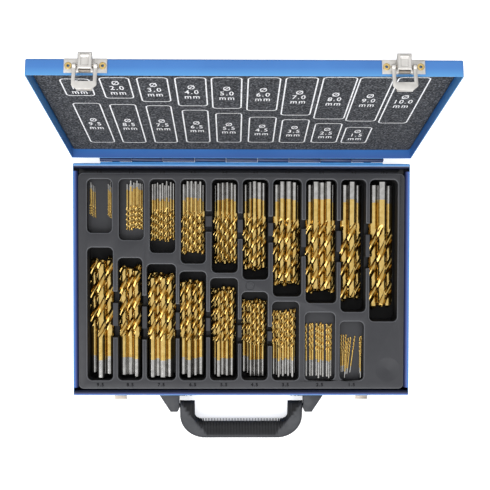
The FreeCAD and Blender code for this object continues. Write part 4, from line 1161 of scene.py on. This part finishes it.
def add_outline(build, left, right, low, high):
    """A flat ribbon between two rounded rectangles."""
    rings = []
    for inset in (0.0, LINE_WIDTH):
        ring = rectangle_ring((right - left) / 2 - inset, (high - low) / 2 - inset,
                              LINE_CORNER - inset, 8)
        rings.append(on_foam(ring[:, 0] + (left + right) / 2, ring[:, 1] + (low + high) / 2,
                             PRINT_RISE))
    build.add(np.concatenate(rings), grid_faces(2, len(rings[0]), wrap_columns=True))


print("chart outlines", len(CHART))


# %% Words made of triangles
def words_mesh(text, size, spacing, weight):
    """Flat letters as points and triangles, in millimetres, centred on the origin. weight
    thickens their strokes, as a share of the size."""
    curve = bpy.data.curves.new("words", "FONT")
    curve.body, curve.size, curve.space_character = text, size, spacing
    curve.offset, curve.resolution_u = weight * size, 5
    curve.align_x, curve.align_y = "CENTER", "CENTER"
    carrier = new_object("words", curve)
    mesh = shown_mesh(carrier)
    letters = mesh_arrays(mesh)
    bpy.data.objects.remove(carrier)
    bpy.data.meshes.remove(mesh)
    bpy.data.curves.remove(curve)
    return letters


print("triangles in mm", len(words_mesh("mm", 10.0, 1.0, 0.0)[1]))

# %% The chart
WORD_SIZE, WORD_NARROWING, LINE_PITCH = 13.5, 0.62, 12.3
WORD_SPACING, WORD_WEIGHT = 1.25, 0.012


def make_chart():
    """An outline for each pocket, and three lines of words round its middle, narrowed."""
    build = Build()
    for size, left, right, low, high in CHART:
        add_outline(build, left, right, low, high)
        middle, centre = (left + right) / 2, (low + high) / 2
        for line, text in enumerate(("Ø", size, "mm")):
            points, faces = words_mesh(text, WORD_SIZE, WORD_SPACING, WORD_WEIGHT)
            spots = on_foam(points[:, 0] * WORD_NARROWING + middle,
                            points[:, 1] + centre + (1 - line) * LINE_PITCH, PRINT_RISE)
            build.add(spots, faces)
    add_detail(build, "lid_chart_print", "lid", "chart_print", outward=False)
    print("chart points", build.count)


make_chart()

# %% [markdown]
# ## Marks on the tray
# The tray carries its sizes as small moulded digits beside the pockets, and a plain ring in its
# middle. Cutting them into the tray would need a very fine mesh there, so they are thin pieces
# that lie on it. Each pocket's middle comes from the opening at its free end, so the digits stay
# with the pockets.

# %% Tray digits
DIGIT_SIZE, BACK_ROW_SHARE, DIGIT_SPACING, DIGIT_RISE = 4.9, 0.7, 1.3, 0.03
# For sizes that end in 0 (back row) and 5 (front row): the line's y, and the strokes' weight.
DIGIT_LINES = {"0": (113.6, 0.0), "5": (-112.2, 0.045)}


def make_digits():
    """The front row's digits are bold, the back row's are thin and small."""
    build = Build()
    tray_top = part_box("drill_tray")[1].z / MM
    for opening in frame["record"]["physics"]["openings"]:
        words = opening["name"].split("_")
        if opening["name"].endswith("free_end") and words[0] == "pocket":
            middle = (opening["box_m"][0][0] + opening["box_m"][1][0]) / 2 / MM
            line, weight = DIGIT_LINES[words[2]]
            size = DIGIT_SIZE * (1 if weight else BACK_ROW_SHARE)
            points, faces = words_mesh(words[1] + "." + words[2], size, DIGIT_SPACING, weight)
            build.add(points + (middle, line, tray_top + DIGIT_RISE), faces)
    add_detail(build, "tray_digits", "base", "digit_ink", outward=False)


make_digits()
print("digit lines", DIGIT_LINES)

# %% Moulded ring on the tray
RING_PLACE, RING_RADIUS, RING_HALF_WIDTH, RING_RISE = (9.0, -6.7, 32.0), 4.4, 0.55, 0.3


def full_circle(count):
    """Even angles round a circle, without the last one, which would meet the first."""
    return np.linspace(0, 2 * math.pi, count, endpoint=False)


def make_tray_ring():
    """A low, plain bead: a flattened torus, sunk to its middle. At the angles a round it and b
    across it, the radius is the ring's plus its half width times cos b, the height sin b."""
    a, b = np.meshgrid(full_circle(72), full_circle(12), indexing="ij")
    radius = RING_RADIUS + RING_HALF_WIDTH * np.cos(b)
    rings = np.stack([radius * np.cos(a), radius * np.sin(a), RING_RISE * np.sin(b)], axis=-1)
    build = Build()
    build.tube(rings + np.array(RING_PLACE), closed=True)
    add_detail(build, "tray_ring", "base", "tray_plastic")


make_tray_ring()
print("tray ring at", RING_PLACE)

# %% [markdown]
# ## Handle
# The handle is one moulding: a flat grip with two arms whose ends turn on stub pins in the
# brackets. The grip's inner edge carries a comb of fine ribs, and its faces are ribbed where the
# fingers lie. Ribs could be added one by one, but a moulded rib grows out of the grip. So the
# skin is swept: a rounded cross-section follows the U from one pivot to the other, and waves
# along the grip cut the ribs into it.

# %% Handle skin
HANDLE_SPAN, HANDLE_ARM, HANDLE_REACH, HANDLE_THICK = 132.0, 16.0, 38.0, 12.0
GRIP_DEPTH, OUTER_CORNER, INNER_CORNER = 21.0, 27.0, 6.0
PIVOT = np.array([0.0, -CASE_DEPTH / 2 - 14.0, 17.0])
EDGE, ROUNDNESS, AROUND = 3.5, 0.4, 56
END_STATIONS, ARM_STATIONS, BEND_STATIONS, GRIP_STATIONS = 9, 14, 141, 236
RIB_PITCH, RIB_DEPTH, PANEL_SINK, TOOTH = 1.66, 0.5, 0.7, 3.9
PANEL_INNER, PANEL_OUTER, PANEL_DEPTH, PANEL_SOFT = 49.0, 37.0, 16.4, 0.5
# The last value is the painted shade's share over the whole sunk panel; the grooves get it in full.
COMB_STEEPNESS, RIB_STEEPNESS, COMB_MARGIN, COMB_SOFT, SUNK_SHADE = 2.2, 1.6, 0.6, 0.3, 0.6


def handle_droop():
    """The angle below level at which the grip's rounded edge rests on the table."""
    out, down = HANDLE_REACH - EDGE, HANDLE_THICK / 2 - EDGE
    return math.asin((PIVOT[2] - EDGE) / math.hypot(out, down)) - math.atan2(down, out)


print("grip hangs", round(math.degrees(handle_droop()), 1), "degrees below level")

# %% The handle's lines
def half_line(half_width, reach, corner, stop):
    """Half of the U: the round end past the pivot, the arm, a quarter turn round the corner and
    on to x = stop, then the straight grip. Both lines of the U use the same counts, so their
    stations face each other."""
    end = HANDLE_THICK / 2 * np.cos(np.linspace(0.12, math.pi / 2, END_STATIONS))[:-1]
    arm = np.concatenate([end, np.linspace(0, -(reach - corner), ARM_STATIONS)[:-1]])
    turn = corner * math.pi / 2
    spot = np.linspace(0, 1, BEND_STATIONS)[:-1] * (turn + half_width - corner - stop)
    angle = np.clip(spot / corner, 0, math.pi / 2)
    bend_x = half_width - corner * (1 - np.cos(angle)) - np.clip(spot - turn, 0, None)
    x = np.concatenate([np.full(len(arm), half_width), bend_x, np.linspace(stop, 0, GRIP_STATIONS)])
    y = np.concatenate([arm, -(reach - corner) - corner * np.sin(angle),
                        np.full(GRIP_STATIONS, -reach)])
    return np.stack([x, y], axis=-1)


def panel_share(x, depth):
    """1 inside the ribbed panel, a trapezoid that narrows away from the fingers, 0 outside."""
    side = PANEL_INNER - (PANEL_INNER - PANEL_OUTER) * depth / PANEL_DEPTH - np.abs(x)
    return (np.clip(side / PANEL_SOFT, 0, 1)
            * np.clip((PANEL_DEPTH - depth) / PANEL_SOFT, 0, 1))


print("the panel's share in its middle and outside", panel_share(0, 8), panel_share(60, 8))

# %% The swept skin
def make_handle():
    """Each station carries a rounded section between the inner and outer line of the U: the
    cosine and sine of the angle round it, each to the power ROUNDNESS. Inside the panel the faces
    sink and are ribbed, and between the ribs the inner edge is cut back into a comb. Ribs and
    comb are cosine waves that repeat every RIB_PITCH, steepened and then held to 0 .. 1."""
    stop = HANDLE_SPAN / 2 - OUTER_CORNER
    outer = half_line(HANDLE_SPAN / 2, HANDLE_REACH, OUTER_CORNER, stop)
    inner = half_line(HANDLE_SPAN / 2 - HANDLE_ARM, HANDLE_REACH - GRIP_DEPTH, INNER_CORNER, stop)
    outer = np.concatenate([outer, (outer * (-1, 1))[-2::-1]])
    inner = np.concatenate([inner, (inner * (-1, 1))[-2::-1]])
    on_grip = np.clip((PANEL_INNER - COMB_MARGIN - np.abs(inner[:, 0])) / COMB_SOFT, 0, 1)
    gap = np.clip(0.5 + COMB_STEEPNESS * np.cos(2 * math.pi * inner[:, 0] / RIB_PITCH), 0, 1)
    inner[:, 1] -= TOOTH * on_grip * gap
    turn = full_circle(AROUND)
    across = np.sign(np.cos(turn)) * np.abs(np.cos(turn)) ** ROUNDNESS
    upward = np.sign(np.sin(turn)) * np.abs(np.sin(turn)) ** ROUNDNESS
    middle, reach = (outer + inner) / 2, (outer - inner) / 2
    rings = np.zeros((len(outer), AROUND, 3))
    rings[..., :2] = middle[:, None, :] + reach[:, None, :] * across[None, :, None]
    x, y = rings[..., 0], rings[..., 1]
    panel = panel_share(x, -(HANDLE_REACH - GRIP_DEPTH) - y)
    wave = np.clip(0.5 + RIB_STEEPNESS * np.cos(2 * math.pi * x / RIB_PITCH), 0, 1)
    sunk = panel * (PANEL_SINK + RIB_DEPTH * wave)
    round_end = np.sqrt(np.clip(1 - (np.clip(y, 0, None) / (HANDLE_THICK / 2)) ** 2, 0, 1))
    rings[..., 2] = (HANDLE_THICK / 2 * round_end - sunk) * upward[None, :]
    angle = handle_droop()
    c, s = math.cos(angle), math.sin(angle)
    y, z = rings[..., 1].copy(), rings[..., 2].copy()
    rings[..., 1] = y * c - z * s
    rings[..., 2] = y * s + z * c
    build = Build()
    # Painted shade: the sunk panel darkens, most in the grooves between the ribs.
    build.tube(rings + PIVOT, rib=(panel * (SUNK_SHADE + (1 - SUNK_SHADE) * wave)).reshape(-1))
    handle = build.finish("handle_grip_skin", FINISHES["handle_plastic"], 55)
    dress(handle, "handle_plastic", "handle_grip")
    print("handle triangles", triangles(handle))


make_handle()
